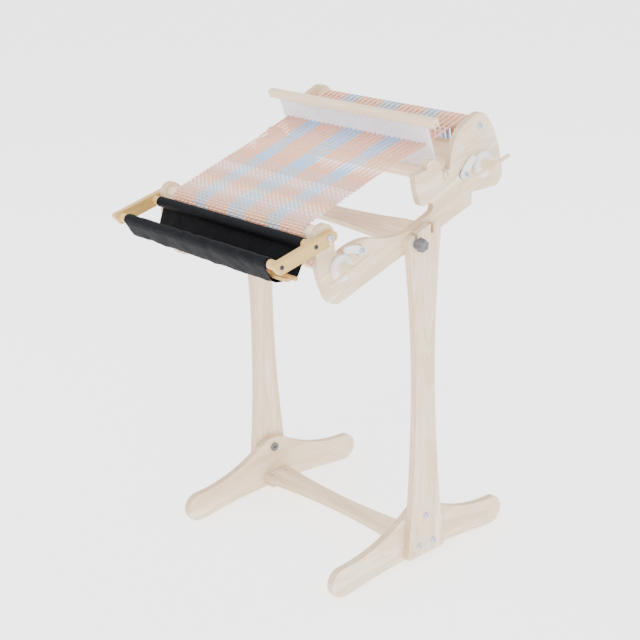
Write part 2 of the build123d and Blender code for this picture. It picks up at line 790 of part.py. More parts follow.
for made, name in (
        (left_foot, "left_foot"), (right_foot, "right_foot"),
        (left_upright, "left_upright"), (right_upright, "right_upright"),
        (stretcher, "stretcher"), (stretcher_cleats, "stretcher_cleats"),
        (stretcher_screws, "stretcher_screws"), (upright_bolts, "upright_bolts"),
        (foot_nuts, "foot_nuts"), (left_side_frame, "left_side_frame"),
        (right_side_frame, "right_side_frame"), (front_beam, "front_beam"),
        (back_beam, "back_beam"), (bottom_brace, "bottom_brace"), (back_brace, "back_brace"),
        (tilt_spacers, "tilt_spacers"), (back_beam_bolts, "back_beam_bolts"),
        (hanging_bolts, "hanging_bolts"), (pawl_discs, "pawl_discs"),
        (pawl_bolts, "pawl_bolts"), (cloth_roller, "cloth_roller"),
        (warp_roller, "warp_roller"), (cloth_ratchet, "cloth_ratchet"),
        (warp_ratchet, "warp_ratchet"), (cloth_handle, "cloth_handle"),
        (warp_handle, "warp_handle"), (cloth_pawl, "cloth_pawl"), (warp_pawl, "warp_pawl"),
        (low_rail, "low_rail"), (high_rail, "high_rail"), (reed, "reed"),
        (warp_front, "warp_front"), (warp_back, "warp_back"), (cloth, "cloth"),
        (cloth_roll, "cloth_roll"), (warp_roll, "warp_roll"),
        (left_knob, "left_knob"), (right_knob, "right_knob"),
        (left_knob_bolt, "left_knob_bolt"), (right_knob_bolt, "right_knob_bolt"),
        (left_arm, "left_arm"), (right_arm, "right_arm"),
        (back_pouch_dowel, "back_pouch_dowel"), (front_pouch_dowel, "front_pouch_dowel"),
        (arm_screws, "arm_screws"), (pouch_fabric, "pouch_fabric"), (shuttle, "shuttle")):
    save(made.part, name)
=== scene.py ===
import json
from math import acos, atan2, cos, pi, radians, sin

import bmesh
import bpy
import numpy as np
from mathutils import Matrix, Vector


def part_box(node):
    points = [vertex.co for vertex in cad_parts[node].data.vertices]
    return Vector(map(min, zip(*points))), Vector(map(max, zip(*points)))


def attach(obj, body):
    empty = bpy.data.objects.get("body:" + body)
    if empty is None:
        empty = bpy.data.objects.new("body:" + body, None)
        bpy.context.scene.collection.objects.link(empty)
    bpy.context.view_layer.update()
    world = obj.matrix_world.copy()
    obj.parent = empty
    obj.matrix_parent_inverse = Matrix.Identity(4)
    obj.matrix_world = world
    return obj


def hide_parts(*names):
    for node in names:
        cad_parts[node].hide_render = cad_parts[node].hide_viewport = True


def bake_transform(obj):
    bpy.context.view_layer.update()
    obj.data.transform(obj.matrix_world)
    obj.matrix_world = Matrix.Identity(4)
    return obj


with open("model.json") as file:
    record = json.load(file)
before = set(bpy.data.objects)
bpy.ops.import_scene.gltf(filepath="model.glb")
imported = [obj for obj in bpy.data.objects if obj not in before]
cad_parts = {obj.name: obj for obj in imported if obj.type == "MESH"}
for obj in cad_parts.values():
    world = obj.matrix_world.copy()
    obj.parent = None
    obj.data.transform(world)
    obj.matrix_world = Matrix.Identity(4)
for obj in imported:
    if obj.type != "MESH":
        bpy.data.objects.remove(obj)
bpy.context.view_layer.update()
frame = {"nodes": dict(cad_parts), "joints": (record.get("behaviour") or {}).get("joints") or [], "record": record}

bl_info = {
    "name": "Rigid heddle loom",
    "version": (1, 0, 0),
    "blender": (4, 5, 0),
    "location": "3D View > Sidebar > Loom",
    "description": "Builds the visible pieces of a rigid heddle loom around its fixed frame",
    "category": "Object",
}

BODY = {n: b for b, ns in frame["record"]["behaviour"]["bodies"].items() for n in ns}
JOINT = {j["name"]: j for j in frame["joints"]}

# ---- directions of the loom and of the pouch's arms ----
TILT = radians(17.76)
ARM_TILT = radians(13.0)
ACROSS = np.array([1.0, 0.0, 0.0])
ALONG = np.array([0.0, cos(TILT), sin(TILT)])
SQUARE = np.array([0.0, -sin(TILT), cos(TILT)])
ARM_ALONG = np.array([0.0, cos(ARM_TILT), sin(ARM_TILT)])
ARM_UP = np.array([0.0, -sin(ARM_TILT), cos(ARM_TILT)])
PIVOT = np.array(JOINT["loom_tilt"]["pos_m"])
HANG = np.array(JOINT["pouch_lift"]["pos_m"])


def centre(node):
    """Middle of a CAD node's box."""
    low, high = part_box(node)
    return (np.array(low) + np.array(high)) / 2


def in_loom(point):
    """(u, v) of a point: u along the warp and v square to it, both from the tilt bolt."""
    return float((point - PIVOT) @ ALONG), float((point - PIVOT) @ SQUARE)


def on_loom(x, u, v):
    """Pivot plus x across the loom, u along the warp and v square to it."""
    x, u, v = np.broadcast_arrays(x, u, v)
    return PIVOT + x[..., None] * ACROSS + u[..., None] * ALONG + v[..., None] * SQUARE


def on_arm(x, a, b):
    """Hanging bolt plus x across, a along the pouch's arm and b square to it."""
    x, a, b = np.broadcast_arrays(x, a, b)
    return HANG + x[..., None] * ACROSS + a[..., None] * ARM_ALONG + b[..., None] * ARM_UP


FRONT_BEAM, BACK_BEAM = in_loom(centre("front_beam")), in_loom(centre("back_beam"))
CLOTH_ROLLER = in_loom(np.array(JOINT["cloth_beam_turn"]["pos_m"]))
WARP_ROLLER = in_loom(np.array(JOINT["warp_beam_turn"]["pos_m"]))
REED_U = in_loom(centre("reed"))[0]
BEAM_R = (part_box("front_beam")[1].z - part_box("front_beam")[0].z) / 2
WARP_V = BACK_BEAM[1] + BEAM_R
CLOTH_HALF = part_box("cloth")[1].x
WARP_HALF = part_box("warp_front")[1].x
CLOTH_ROLL_R = (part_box("cloth_roll")[1].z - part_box("cloth_roll")[0].z) / 2
WARP_ROLL_R = (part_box("warp_roll")[1].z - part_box("warp_roll")[0].z) / 2
FELL_U = -0.033
GROUPS = 30              # bunches of warp ends through the reed
GROUP_PITCH = 2 * WARP_HALF / GROUPS
STRIPES = (5, 3, 5, 4, 5, 3, 5)   # bunches in each stripe, coral and blue in turn


# ================= settings =================
def tint(red, green, blue):
    """Linear colour of a paint chip given as 0 to 255 screen values."""
    chip = np.array([red, green, blue]) / 255
    return tuple(float(c) for c in np.where(chip <= 0.04045, chip / 12.92,
                                            ((chip + 0.055) / 1.055) ** 2.4))


def colour(name, description, chip):
    return bpy.props.FloatVectorProperty(name=name, description=description, subtype="COLOR",
                                         size=3, min=0.0, max=1.0, default=tint(*chip))


def length(name, description, default):
    return bpy.props.FloatProperty(name=name, description=description, subtype="DISTANCE",
                                   unit="LENGTH", min=0.0, default=default, precision=5)


class LoomSizes(bpy.types.PropertyGroup):
    """Sizes of the visible detail."""
    edge: length("Board edge", "Radius of the eased edges of the boards", 0.0009)
    small_edge: length("Small edge", "Radius of the eased edges of the moulded pieces", 0.0003)
    end_r: length("Warp end radius", "Radius of one warp end", 0.00078)
    pick_pitch: length("Pick pitch", "Distance from one weft pick to the next", 0.00475)
    pick_half: length("Pick half width", "Half the width of a thick weft pick", 0.0022)
    crimp: length("Crimp", "How far a pick rises and falls as it crosses the ends", 0.0009)
    reed_slat: length("Slat width", "Width of one slat of the reed", 0.0038)
    cloth_wall: length("Canvas", "Thickness of the pouch's canvas", 0.0012)
    fold: length("Fold", "Height of the soft folds in the pouch", 0.0024)
    pairs: bpy.props.IntProperty(name="Pairs", description="Pairs of ends across the cloth",
                                 default=60, min=10, max=120)


class LoomColours(bpy.types.PropertyGroup):
    """Colours of the finishes."""
    ply: colour("Ply face", "Pale maple face of the boards", (247, 229, 204))
    ply_edge: colour("Ply layers", "Darker layers on the boards' edges", (176, 146, 112))
    maple: colour("Maple", "Solid maple bars and dowels", (240, 218, 188))
    oiled: colour("Oiled maple", "Arms, dowels and shuttle of the pouch", (214, 178, 106))
    steel: colour("Zinc", "Bolts and washers", (196, 203, 212))
    dark_steel: colour("Dark steel", "Screws in the pouch's arms", (62, 66, 72))
    knob: colour("Knob", "Moulded knobs, nuts and discs", (96, 96, 99))
    nylon: colour("Nylon", "Ratchet wheels and pawls", (246, 247, 248))
    reed: colour("Reed", "Moulded slats of the heddle", (236, 234, 243))
    coral: colour("Coral yarn", "Coral warp ends", (250, 190, 164))
    blue: colour("Blue yarn", "Blue warp ends", (176, 209, 244))
    stone: colour("Stone yarn", "Grey beige weft", (214, 198, 184))
    white: colour("White yarn", "White weft", (243, 241, 246))
    lilac: colour("Lilac yarn", "Pale grey weft", (218, 214, 224))
    peach: colour("Peach yarn", "Peach weft", (250, 208, 170))
    cream: colour("Cream yarn", "Cream weft", (252, 230, 200))
    tan: colour("Tan yarn", "Yarn wound on the shuttle", (210, 112, 36))
    paper: colour("Paper", "End faces of the warp roll", (244, 243, 240))
    canvas: colour("Canvas", "Black canvas of the pouch", (10, 11, 15))


def sizes():
    return bpy.context.scene.loom_sizes


def colours():
    return bpy.context.scene.loom_colours


# ================= finishes =================
def new_finish(name, base, rough, **sockets):
    """Principled material with its plain values set on the shader itself."""
    made = bpy.data.materials.new(name)
    made.use_nodes = True
    shader = made.node_tree.nodes["Principled BSDF"]
    shader.inputs["Base Color"].default_value = (*base, 1.0)
    shader.inputs["Roughness"].default_value = rough
    for socket, value in sockets.items():
        shader.inputs[socket.replace("_", " ")].default_value = value
    return made, made.node_tree, shader


def add_node(tree, kind, inputs=None, **settings):
    """Adds a shader node; inputs maps a socket's name or number to a value or to an output."""
    made = tree.nodes.new("ShaderNode" + kind)
    for key, value in settings.items():
        setattr(made, key, value)
    for key, value in (inputs or {}).items():
        socket = made.inputs[key]
        if isinstance(value, bpy.types.NodeSocket):
            tree.links.new(value, socket)
        else:
            socket.default_value = value
    return made


def scaled_place(tree, scale, turn=0.0, source="Object"):
    """Object or UV coordinates, turned about X and then stretched by scale."""
    coordinates = add_node(tree, "TexCoord").outputs[source]
    turned = add_node(tree, "Mapping", {"Vector": coordinates, "Rotation": (turn, 0, 0)})
    return add_node(tree, "Mapping", {"Vector": turned.outputs[0], "Scale": scale}).outputs[0]


def noise(tree, scale, detail, turn=0.0, distortion=0.0):
    """Noise at Object coordinates, stretched by scale: one number or one for each axis."""
    place = scaled_place(tree, np.broadcast_to(np.asarray(scale, float), 3).tolist(), turn)
    return add_node(tree, "TexNoise", {"Vector": place, "Scale": 1.0, "Detail": detail,
                                       "Distortion": distortion}).outputs[0]


def blend_colours(tree, share, low, high):
    """Colour from low to high by share."""
    mixed = add_node(tree, "Mix", {0: share}, data_type="RGBA")
    for key, value in ((6, low), (7, high)):
        if isinstance(value, bpy.types.NodeSocket):
            tree.links.new(value, mixed.inputs[key])
        else:
            mixed.inputs[key].default_value = (*value, 1.0)
    return mixed.outputs[2]


def spread_of(tree, value, low, high, to_low=0.0, to_high=1.0):
    return add_node(tree, "MapRange", {"Value": value, "From Min": low, "From Max": high,
                                       "To Min": to_low, "To Max": to_high}).outputs[0]


def calc(tree, operation, first, second=0.0):
    return add_node(tree, "Math", {0: first, 1: second}, operation=operation).outputs[0]


def shaded(base, factor):
    return tuple(min(1.0, c * f) for c, f in zip(base, factor))


def add_bump(tree, shader, height, strength, distance):
    bump = add_node(tree, "Bump", {"Height": height, "Strength": strength, "Distance": distance})
    tree.links.new(bump.outputs[0], shader.inputs["Normal"])


def wood_finish(name, base, grain, turn=0.0, layers=None, rough=0.42, contrast=1.0):
    """Maple: long soft figure, fine fibres and small flecks along the grain axis.
    layers = (normal, start, thickness, count) adds the plies seen on a board's edge, as a cosine of the
    depth from one face, which is nought on both faces."""
    made, tree, shader = new_finish(name, base, rough)
    figure_scale, fibre_scale = np.full(3, 26.0), np.full(3, 900.0)
    figure_scale[grain], fibre_scale[grain] = 2.6, 24.0
    figure = noise(tree, figure_scale, 4.0, turn, 1.4)
    fibre = noise(tree, fibre_scale, 3.0, turn)
    fleck = noise(tree, fibre_scale * 0.45, 1.0, turn)
    dark = shaded(base, (1 - 0.13 * contrast, 1 - 0.17 * contrast, 1 - 0.24 * contrast))
    pale = shaded(base, (1.03, 1.03, 1.04))
    rings = calc(tree, "SINE", calc(tree, "MULTIPLY", figure, 46.0))
    ring_share = spread_of(tree, rings, -1.0, 1.0, 0.0, 0.30 * contrast)
    soft = blend_colours(tree, spread_of(tree, figure, 0.35, 0.7), pale, dark)
    ringed = blend_colours(tree, ring_share, soft, dark)
    fine = blend_colours(tree, spread_of(tree, fibre, 0.45, 0.75, 0.0, 0.34 * contrast),
                         ringed, shaded(dark, (0.93, 0.9, 0.86)))
    top = blend_colours(tree, spread_of(tree, fleck, 0.66, 0.74, 0.0, 0.30 * contrast),
                        fine, shaded(dark, (0.8, 0.74, 0.68)))
    if layers:
        normal, start, thickness, count = layers
        place = add_node(tree, "TexCoord").outputs["Object"]
        depth = add_node(tree, "VectorMath", {0: place, 1: tuple(normal)},
                         operation="DOT_PRODUCT").outputs["Value"]
        if abs(normal[0]) > 0.5:
            depth = calc(tree, "ABSOLUTE", depth)
        turns = calc(tree, "MULTIPLY", calc(tree, "SUBTRACT", depth, start),
                     2 * pi * count / thickness)
        wave = calc(tree, "COSINE", turns)
        share = spread_of(tree, wave, 0.35, -0.35, 0.0, 0.85)
        top = blend_colours(tree, share, top, tuple(colours().ply_edge))
    tree.links.new(top, shader.inputs["Base Color"])
    tree.links.new(spread_of(tree, fibre, 0.3, 0.8, rough - 0.07, rough + 0.1),
                   shader.inputs["Roughness"])
    add_bump(tree, shader, fibre, 0.25, 0.0002)
    return made


def board_finish(name, grain, turn, layers):
    return wood_finish(name, tuple(colours().ply), grain, turn, layers, contrast=1.8)


def oiled_finish(name, grain):
    return wood_finish(name, tuple(colours().oiled), grain, -ARM_TILT, rough=0.36, contrast=1.5)


def metal_finish(name, base):
    """Zinc plate: faint cloudy spangle in colour and roughness."""
    made, tree, shader = new_finish(name, base, 0.3, Metallic=0.85)
    cloud = noise(tree, 420, 3.0)
    tree.links.new(blend_colours(tree, cloud, shaded(base, (0.82, 0.84, 0.88)), base),
                   shader.inputs["Base Color"])
    tree.links.new(spread_of(tree, cloud, 0.3, 0.7, 0.2, 0.42), shader.inputs["Roughness"])
    return made


def moulded_finish(name, base, rough):
    """Moulded plastic: a fine satin grain and a slight unevenness of colour."""
    made, tree, shader = new_finish(name, base, rough)
    fine, broad = noise(tree, 2200, 2.0), noise(tree, 60, 2.0)
    tree.links.new(blend_colours(tree, spread_of(tree, broad, 0.3, 0.7),
                                 shaded(base, (0.94, 0.94, 0.94)), base),
                   shader.inputs["Base Color"])
    tree.links.new(spread_of(tree, fine, 0.3, 0.7, rough - 0.06, rough + 0.08),
                   shader.inputs["Roughness"])
    add_bump(tree, shader, fine, 0.12, 0.0001)
    return made


def yarn_finish(name, base):
    """Cotton yarn: two plies wound round each other, from the sine of turns along the yarn plus turns
    round it, with painted shade in the grooves between the plies and soft fuzz over them. U counts
    widths along the yarn and V turns round it."""
    made, tree, shader = new_finish(name, base, 0.85, Sheen_Weight=0.25, Sheen_Roughness=0.5)
    place = add_node(tree, "TexCoord").outputs["UV"]
    parts = add_node(tree, "SeparateXYZ", {0: place})
    turns = calc(tree, "ADD", calc(tree, "MULTIPLY", parts.outputs[0], 2.6),
                 calc(tree, "MULTIPLY", parts.outputs[1], 4 * pi))
    ply = calc(tree, "SINE", turns)
    fuzz, patch = noise(tree, 1500, 3.0), noise(tree, (70, 25, 25), 2.0)
    dark = shaded(base, (0.86, 0.80, 0.76))
    # painted shade: the yarn is darkened in the grooves between the plies, where the ply sine is low
    groove_shaded = blend_colours(tree, spread_of(tree, ply, -1.0, 0.6, 0.75, 0.0), base, dark)
    soft = blend_colours(tree, spread_of(tree, patch, 0.35, 0.7, 0.0, 0.5), groove_shaded,
                         shaded(base, (1.04, 1.05, 1.06)))
    fuzzy = blend_colours(tree, spread_of(tree, fuzz, 0.5, 0.8, 0.0, 0.35), soft,
                          shaded(base, (1.08, 1.1, 1.12)))
    tree.links.new(fuzzy, shader.inputs["Base Color"])
    add_bump(tree, shader, calc(tree, "ADD", calc(tree, "MULTIPLY", ply, 0.7), fuzz), 0.5, 0.0002)
    return made


def canvas_finish(name, base):
    """Tight canvas: over and under of two sets of threads, from the product of two sines of the cloth's
    own length and width, with lint and faint creases that carry a painted highlight."""
    made, tree, shader = new_finish(name, base, 0.62, Specular_IOR_Level=0.07)
    place = add_node(tree, "TexCoord").outputs["UV"]
    parts = add_node(tree, "SeparateXYZ", {0: place})
    thread_pitch = 0.0011
    one, two = (calc(tree, "SINE", calc(tree, "MULTIPLY", parts.outputs[k], 2 * pi / thread_pitch))
                for k in (0, 1))
    weave = calc(tree, "MULTIPLY", one, two)
    lint, crease = noise(tree, 350, 5.0), noise(tree, (9, 30, 30), 4.0, distortion=1.0)
    pale = shaded(base, (2.1, 2.1, 2.1))
    woven = blend_colours(tree, spread_of(tree, weave, -1.0, 1.0, 0.0, 0.35), base, pale)
    # painted highlight: the canvas is lightened along the faint creases
    crease_highlighted = blend_colours(tree, spread_of(tree, crease, 0.45, 0.75, 0.0, 0.45),
                          woven, pale)
    linty = blend_colours(tree, spread_of(tree, lint, 0.68, 0.8, 0.0, 0.4), crease_highlighted,
                          (0.03, 0.032, 0.036))
    tree.links.new(linty, shader.inputs["Base Color"])
    height = calc(tree, "ADD", calc(tree, "MULTIPLY", weave, 0.5),
                  calc(tree, "MULTIPLY", crease, 3.0))
    add_bump(tree, shader, height, 0.5, 0.0004)
    return made


FINISH = {}


def finish_of(key, maker, *values):
    """The finish of that name, made the first time it is asked for."""
    if key not in FINISH:
        FINISH[key] = maker(key, *values)
    return FINISH[key]


def yarns(*keys):
    """The finishes of yarns of those colours."""
    return [finish_of(key + "_yarn", yarn_finish, tuple(getattr(colours(), key))) for key in keys]


def grey_plastic():
    return finish_of("grey_moulded", moulded_finish, tuple(colours().knob), 0.42)


# ================= making meshes =================
def make_piece(name, points, quads, finishes, body, replaces=(), tris=None, uv=None,
               which=None, smooth=True):
    """Mesh object from arrays: points (n, 3), quads (f, 4), tris (t, 3), uv per corner and the number of
    each face's finish. It rides on a body and stands for the CAD nodes it replaces."""
    tris = np.zeros((0, 3), int) if tris is None else tris
    mesh = bpy.data.meshes.new(name)
    corners = np.concatenate([quads.ravel(), tris.ravel()])
    starts = np.concatenate([np.arange(len(quads)) * 4, len(quads) * 4 + np.arange(len(tris)) * 3])
    mesh.vertices.add(len(points))
    mesh.vertices.foreach_set("co", np.asarray(points, np.float32).ravel())
    mesh.loops.add(len(corners))
    mesh.loops.foreach_set("vertex_index", corners.astype(np.int32))
    mesh.polygons.add(len(starts))
    mesh.polygons.foreach_set("loop_start", starts.astype(np.int32))
    mesh.update(calc_edges=True)
    if uv is not None:
        layer = mesh.uv_layers.new(name="along_and_round")
        flat = np.zeros((len(corners), 2), np.float32)
        flat[:len(uv)] = uv
        layer.data.foreach_set("uv", flat.ravel())
    for finish in finishes:
        mesh.materials.append(finish)
    if which is not None:
        mesh.polygons.foreach_set("material_index", np.asarray(which, np.int32))
    mesh.polygons.foreach_set("use_smooth", np.full(len(starts), smooth))
    made = bpy.data.objects.new(name, mesh)
    bpy.context.scene.collection.objects.link(made)
    if body:
        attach(made, body)
    if replaces:
        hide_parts(*replaces)
    return made


def grid_quads(rows, columns, wrap_rows=False, wrap_columns=False):
    """Quads of a grid of points; the corner order is point, next column, next row and column, next row."""
    i = np.arange(rows if wrap_rows else rows - 1)[:, None]
    j = np.arange(columns if wrap_columns else columns - 1)[None, :]
    i2, j2 = (i + 1) % rows, (j + 1) % columns
    corner = [i * columns + j, i * columns + j2, i2 * columns + j2, i2 * columns + j]
    return np.stack(np.broadcast_arrays(*corner), -1).reshape(-1, 4)


def unit(vectors):
    return vectors / np.maximum(np.linalg.norm(vectors, axis=-1, keepdims=True), 1e-12)


def tube_arrays(lines, half_wide, half_high, sides, wide_way):
    """Closed tubes along many lines of shape (tubes, steps, 3): each ring is the line's point plus
    cos(angle) * half_wide * w plus sin(angle) * half_high * h, with w the part of wide_way square to the
    line and h square to both. A fan to its centre closes each end. U runs in widths, V in turns."""
    count, steps = lines.shape[:2]
    forward = unit(np.gradient(lines, axis=1))
    wide = unit(wide_way - (forward @ wide_way)[..., None] * forward)
    high = np.cross(forward, wide)
    half_wide, half_high = (np.broadcast_to(np.asarray(h, float), (count, steps))
                            for h in (half_wide, half_high))
    angle = 2 * pi * np.arange(sides) / sides
    rings = (lines[:, :, None] + (half_wide[..., None] * np.cos(angle))[..., None] * wide[:, :, None]
             + (half_high[..., None] * np.sin(angle))[..., None] * high[:, :, None])
    points = np.concatenate([rings.reshape(-1, 3), lines[:, [0, -1]].reshape(-1, 3)])
    one = grid_quads(steps, sides, wrap_columns=True)
    quads = (one[None] + (np.arange(count) * steps * sides)[:, None, None]).reshape(-1, 4)
    j = np.arange(sides)
    base = (np.arange(count) * steps * sides)[:, None]
    middle = count * steps * sides + 2 * np.arange(count)[:, None]
    last = base + (steps - 1) * sides
    first_fan = np.stack(np.broadcast_arrays(middle, base + (j + 1) % sides, base + j), -1)
    last_fan = np.stack(np.broadcast_arrays(middle + 1, last + j, last + (j + 1) % sides), -1)
    tris = np.concatenate([first_fan, last_fan], 1).reshape(-1, 3)
    run = np.concatenate([np.zeros((count, 1)),
                          np.cumsum(np.linalg.norm(np.diff(lines, axis=1), axis=-1), 1)], 1)
    run = run / (2 * half_high.mean())
    near, far = run[:, :-1, None], run[:, 1:, None]
    u = np.stack(np.broadcast_arrays(near, near, far, far), -1)
    u = np.broadcast_to(u, (count, steps - 1, sides, 4))
    v = np.stack([j, j + 1, j + 1, j], -1) / sides
    v = np.broadcast_to(v[None, None], u.shape)
    return points, quads, tris, np.stack([u, v], -1).reshape(-1, 2)


def tube_piece(name, lines, half_wide, half_high, sides, wide_way, finishes, body,
               replaces=(), tube_finish=None):
    """One piece of many tubes; tube_finish gives the number of each tube's finish."""
    points, quads, tris, uv = tube_arrays(lines, half_wide, half_high, sides, wide_way)
    which = None
    if tube_finish is not None:
        count = len(lines)
        which = np.concatenate([np.repeat(tube_finish, len(quads) // count),
                                np.repeat(tube_finish, len(tris) // count)])
    return make_piece(name, points, quads, finishes, body, replaces, tris, uv, which)


def eased_copy(node, finish, width, angle=32.0):
    """Copy of a CAD node with its doubles merged and its flat faces joined, with eased edges."""
    mesh = bpy.data.meshes.new(node + "_eased")
    work = bmesh.new()
    work.from_mesh(frame["nodes"][node].data)
    bmesh.ops.remove_doubles(work, verts=work.verts, dist=1e-6)
    bmesh.ops.dissolve_limit(work, angle_limit=radians(0.5), verts=work.verts, edges=work.edges,
                             delimit={"NORMAL"})
    work.to_mesh(mesh)
    work.free()
    mesh.materials.clear()
    mesh.materials.append(finish)
    mesh.polygons.foreach_set("use_smooth", np.full(len(mesh.polygons), True))
    mesh.set_sharp_from_angle(angle=radians(angle))
    made = bpy.data.objects.new(node + "_piece", mesh)
    bpy.context.scene.collection.objects.link(made)
    ease = made.modifiers.new("eased edges", "BEVEL")
    ease.width = width
    ease.segments = 2
    ease.limit_method = "ANGLE"
    ease.angle_limit = radians(angle)
    ease.use_clamp_overlap = True
    ease.harden_normals = True
    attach(made, BODY[node])
    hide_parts(node)


def turned_arrays(spot, axis, side, radius, height):
    """Turned piece round an axis from spot: each row of radius is a ring's radii at even angles from
    side, and height is that ring's place along the axis. A fan to its centre closes each end."""
    rows, segments = radius.shape
    angle = 2 * pi * np.arange(segments) / segments
    other = np.cross(axis, side)
    points = (spot + radius[..., None] * (np.cos(angle)[None, :, None] * side
              + np.sin(angle)[None, :, None] * other) + height[:, None, None] * axis)
    ends = spot + height[[0, -1], None] * axis
    j = np.arange(segments)
    middle, last = np.full(segments, rows * segments), (rows - 1) * segments
    first_fan = np.stack([middle, (j + 1) % segments, j], -1)
    last_fan = np.stack([middle + 1, last + j, last + (j + 1) % segments], -1)
    return (np.concatenate([points.reshape(-1, 3), ends]), grid_quads(rows, segments, wrap_columns=True),
            np.concatenate([first_fan, last_fan]))


def lathe_arrays(profile, spot, axis, hexed, segments=24):
    """Turned piece from rows of (radius, height along the axis); the rows whose number is in hexed become
    six sided, with radius * cos(30) / cos(angle within the side)."""
    side = unit(np.cross(axis, ARM_UP)) if abs(axis @ ARM_UP) < 0.9 else ACROSS
    radius, height = np.asarray(profile, float).T
    sixth = (2 * pi * np.arange(segments) / segments + pi / 6) % (pi / 3) - pi / 6
    radius = np.repeat(radius[:, None], segments, 1)
    for row in hexed:
        radius[row] *= cos(pi / 6) / np.cos(sixth)
    return turned_arrays(spot, axis, side, radius, height)


def joined(parts):
    """Several (points, quads, tris) as one."""
    points, quads, tris, start = [], [], [], 0
    for p, q, t in parts:
        points.append(p)
        quads.append(q + start)
        tris.append(t + start)
        start += len(p)
    return np.concatenate(points), np.concatenate(quads), np.concatenate(tris)


def island_centres(node):
    """Centre and half size of each separate solid of a CAD node, sorted by place."""
    work = bmesh.new()
    work.from_mesh(frame["nodes"][node].data)
    bmesh.ops.remove_doubles(work, verts=work.verts, dist=1e-6)
    left, found = set(work.verts), []
    while left:
        stack, seen = [left.pop()], []
        while stack:
            vert = stack.pop()
            seen.append(vert.co.copy())
            for edge in vert.link_edges:
                near = edge.other_vert(vert)
                if near in left:
                    left.remove(near)
                    stack.append(near)
        co = np.array(seen)
        found.append((co.min(0), co.max(0)))
    work.free()
    return sorted(found, key=lambda f: tuple(np.round((f[0] + f[1]) / 2, 4)))


# ================= wooden pieces =================
def frame_layers(node):
    """Five plies through a board that stands lengthwise, from its inner face to its outer one."""
    low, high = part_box(node)
    start, end = sorted((abs(low.x), abs(high.x)))
    return (1.0, 0.0, 0.0), start, end - start, 5


class LOOM_OT_boards(bpy.types.Operator):
    """Feet, uprights, side frames, stretcher and braces of pale ply"""
    bl_idname = "loom.boards"
    bl_label = "Boards"

    def execute(self, context):
        edge = sizes().edge
        foot = finish_of("foot_ply", board_finish, 1, 0.0, frame_layers("right_foot"))
        upright = finish_of("upright_ply", board_finish, 2, 0.0, frame_layers("right_upright"))
        side = finish_of("side_ply", board_finish, 1, -TILT, frame_layers("right_side_frame"))
        for hand in ("left", "right"):
            eased_copy(hand + "_foot", foot, edge)
            eased_copy(hand + "_upright", upright, edge)
            eased_copy(hand + "_side_frame", side, edge)
        low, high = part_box("stretcher")
        flat = finish_of("stretcher_ply", board_finish, 0, 0.0,
                         ((0, 0, 1), low.z, high.z - low.z, 5))
        eased_copy("stretcher", flat, edge)
        eased_copy("stretcher_cleats", flat, edge)
        brace_half = 0.006
        v = float(centre("bottom_brace") @ SQUARE)
        brace = finish_of("brace_ply", board_finish, 0, -TILT,
                          (tuple(SQUARE), v - brace_half, 2 * brace_half, 5))
        eased_copy("bottom_brace", brace, edge)
        u = float(centre("back_brace") @ ALONG)
        back = finish_of("back_brace_ply", board_finish, 0, -TILT,
                         (tuple(ALONG), u - brace_half, 2 * brace_half, 5))
        eased_copy("back_brace", back, edge * 0.5)
        spacer = finish_of("spacer_ply", board_finish, 1, -TILT, None)
        eased_copy("tilt_spacers", spacer, edge * 0.5)
        return {"FINISHED"}


class LOOM_OT_bars(bpy.types.Operator):
    """Beams, rollers, handles and heddle rails of solid maple"""
    bl_idname = "loom.bars"
    bl_label = "Bars"

    def execute(self, context):
        maple = tuple(colours().maple)
        across = finish_of("maple_across", wood_finish, maple, 0, -TILT)
        along = finish_of("maple_along", wood_finish, maple, 1, -TILT)
        for node in ("front_beam", "back_beam", "cloth_roller", "warp_roller"):
            eased_copy(node, across, sizes().edge)
        for node in ("low_rail", "high_rail"):
            eased_copy(node, across, sizes().small_edge * 2)
        for node in ("cloth_handle", "warp_handle"):
            eased_copy(node, along, sizes().small_edge)
        return {"FINISHED"}


# ================= moulded and metal pieces =================
class LOOM_OT_ratchets(bpy.types.Operator):
    """Toothed wheels, curved pawls and the discs behind them"""
    bl_idname = "loom.ratchets"
    bl_label = "Ratchets and pawls"

    def execute(self, context):
        nylon = finish_of("white_nylon", moulded_finish, tuple(colours().nylon), 0.38)
        for node in ("cloth_ratchet", "warp_ratchet"):
            eased_copy(node, nylon, sizes().small_edge, angle=28.0)
        for node in ("cloth_pawl", "warp_pawl"):
            eased_copy(node, nylon, sizes().small_edge * 2.5)
        eased_copy("pawl_discs", grey_plastic(), sizes().small_edge)
        eased_copy("foot_nuts", grey_plastic(), sizes().small_edge)
        return {"FINISHED"}


def button_head(radius, height, shank_r, shank, socket):
    """Profile of a bolt from the end of its shank to the floor of its socket: a straight shank, a flat
    underside, a dome that is a quarter of an ellipse, and a socket sunk by 0.6 of the height."""
    dome = np.linspace(0, 1, 6) * (pi / 2)
    inner = socket * 1.25
    rim = inner + (radius - inner) * np.cos(dome)
    rise = 0.12 * height + 0.88 * height * np.sin(dome)
    rows = [(shank_r, -shank), (shank_r, 0.0), (radius, 0.0), *zip(rim, rise),
            (socket, height), (socket * 0.96, height * 0.4)]
    return rows, (len(rows) - 2, len(rows) - 1)


def bolts(node, finish, height, shank_r, socket, axis=0):
    """Button headed bolts where the CAD node has them, along axis 0 or 2: the head of a bolt across the
    loom is on its outer side, and that of an upright one on top."""
    parts = []
    for low, high in island_centres(node):
        way = 1.0 if axis or low[0] + high[0] > 0 else -1.0
        spot = (low + high) / 2
        spot[axis] = (high[axis] if way > 0 else low[axis]) - way * height
        radius = (high[2 - axis] - low[2 - axis]) / 2
        rows, hexed = button_head(radius, height, shank_r, high[axis] - low[axis] - height, socket)
        parts.append(lathe_arrays(rows, spot, way * np.eye(3)[axis], hexed))
    points, quads, tris = joined(parts)
    made = make_piece(node + "_piece", points, quads, [finish], BODY[node], (node,), tris)
    made.data.set_sharp_from_angle(angle=radians(38))


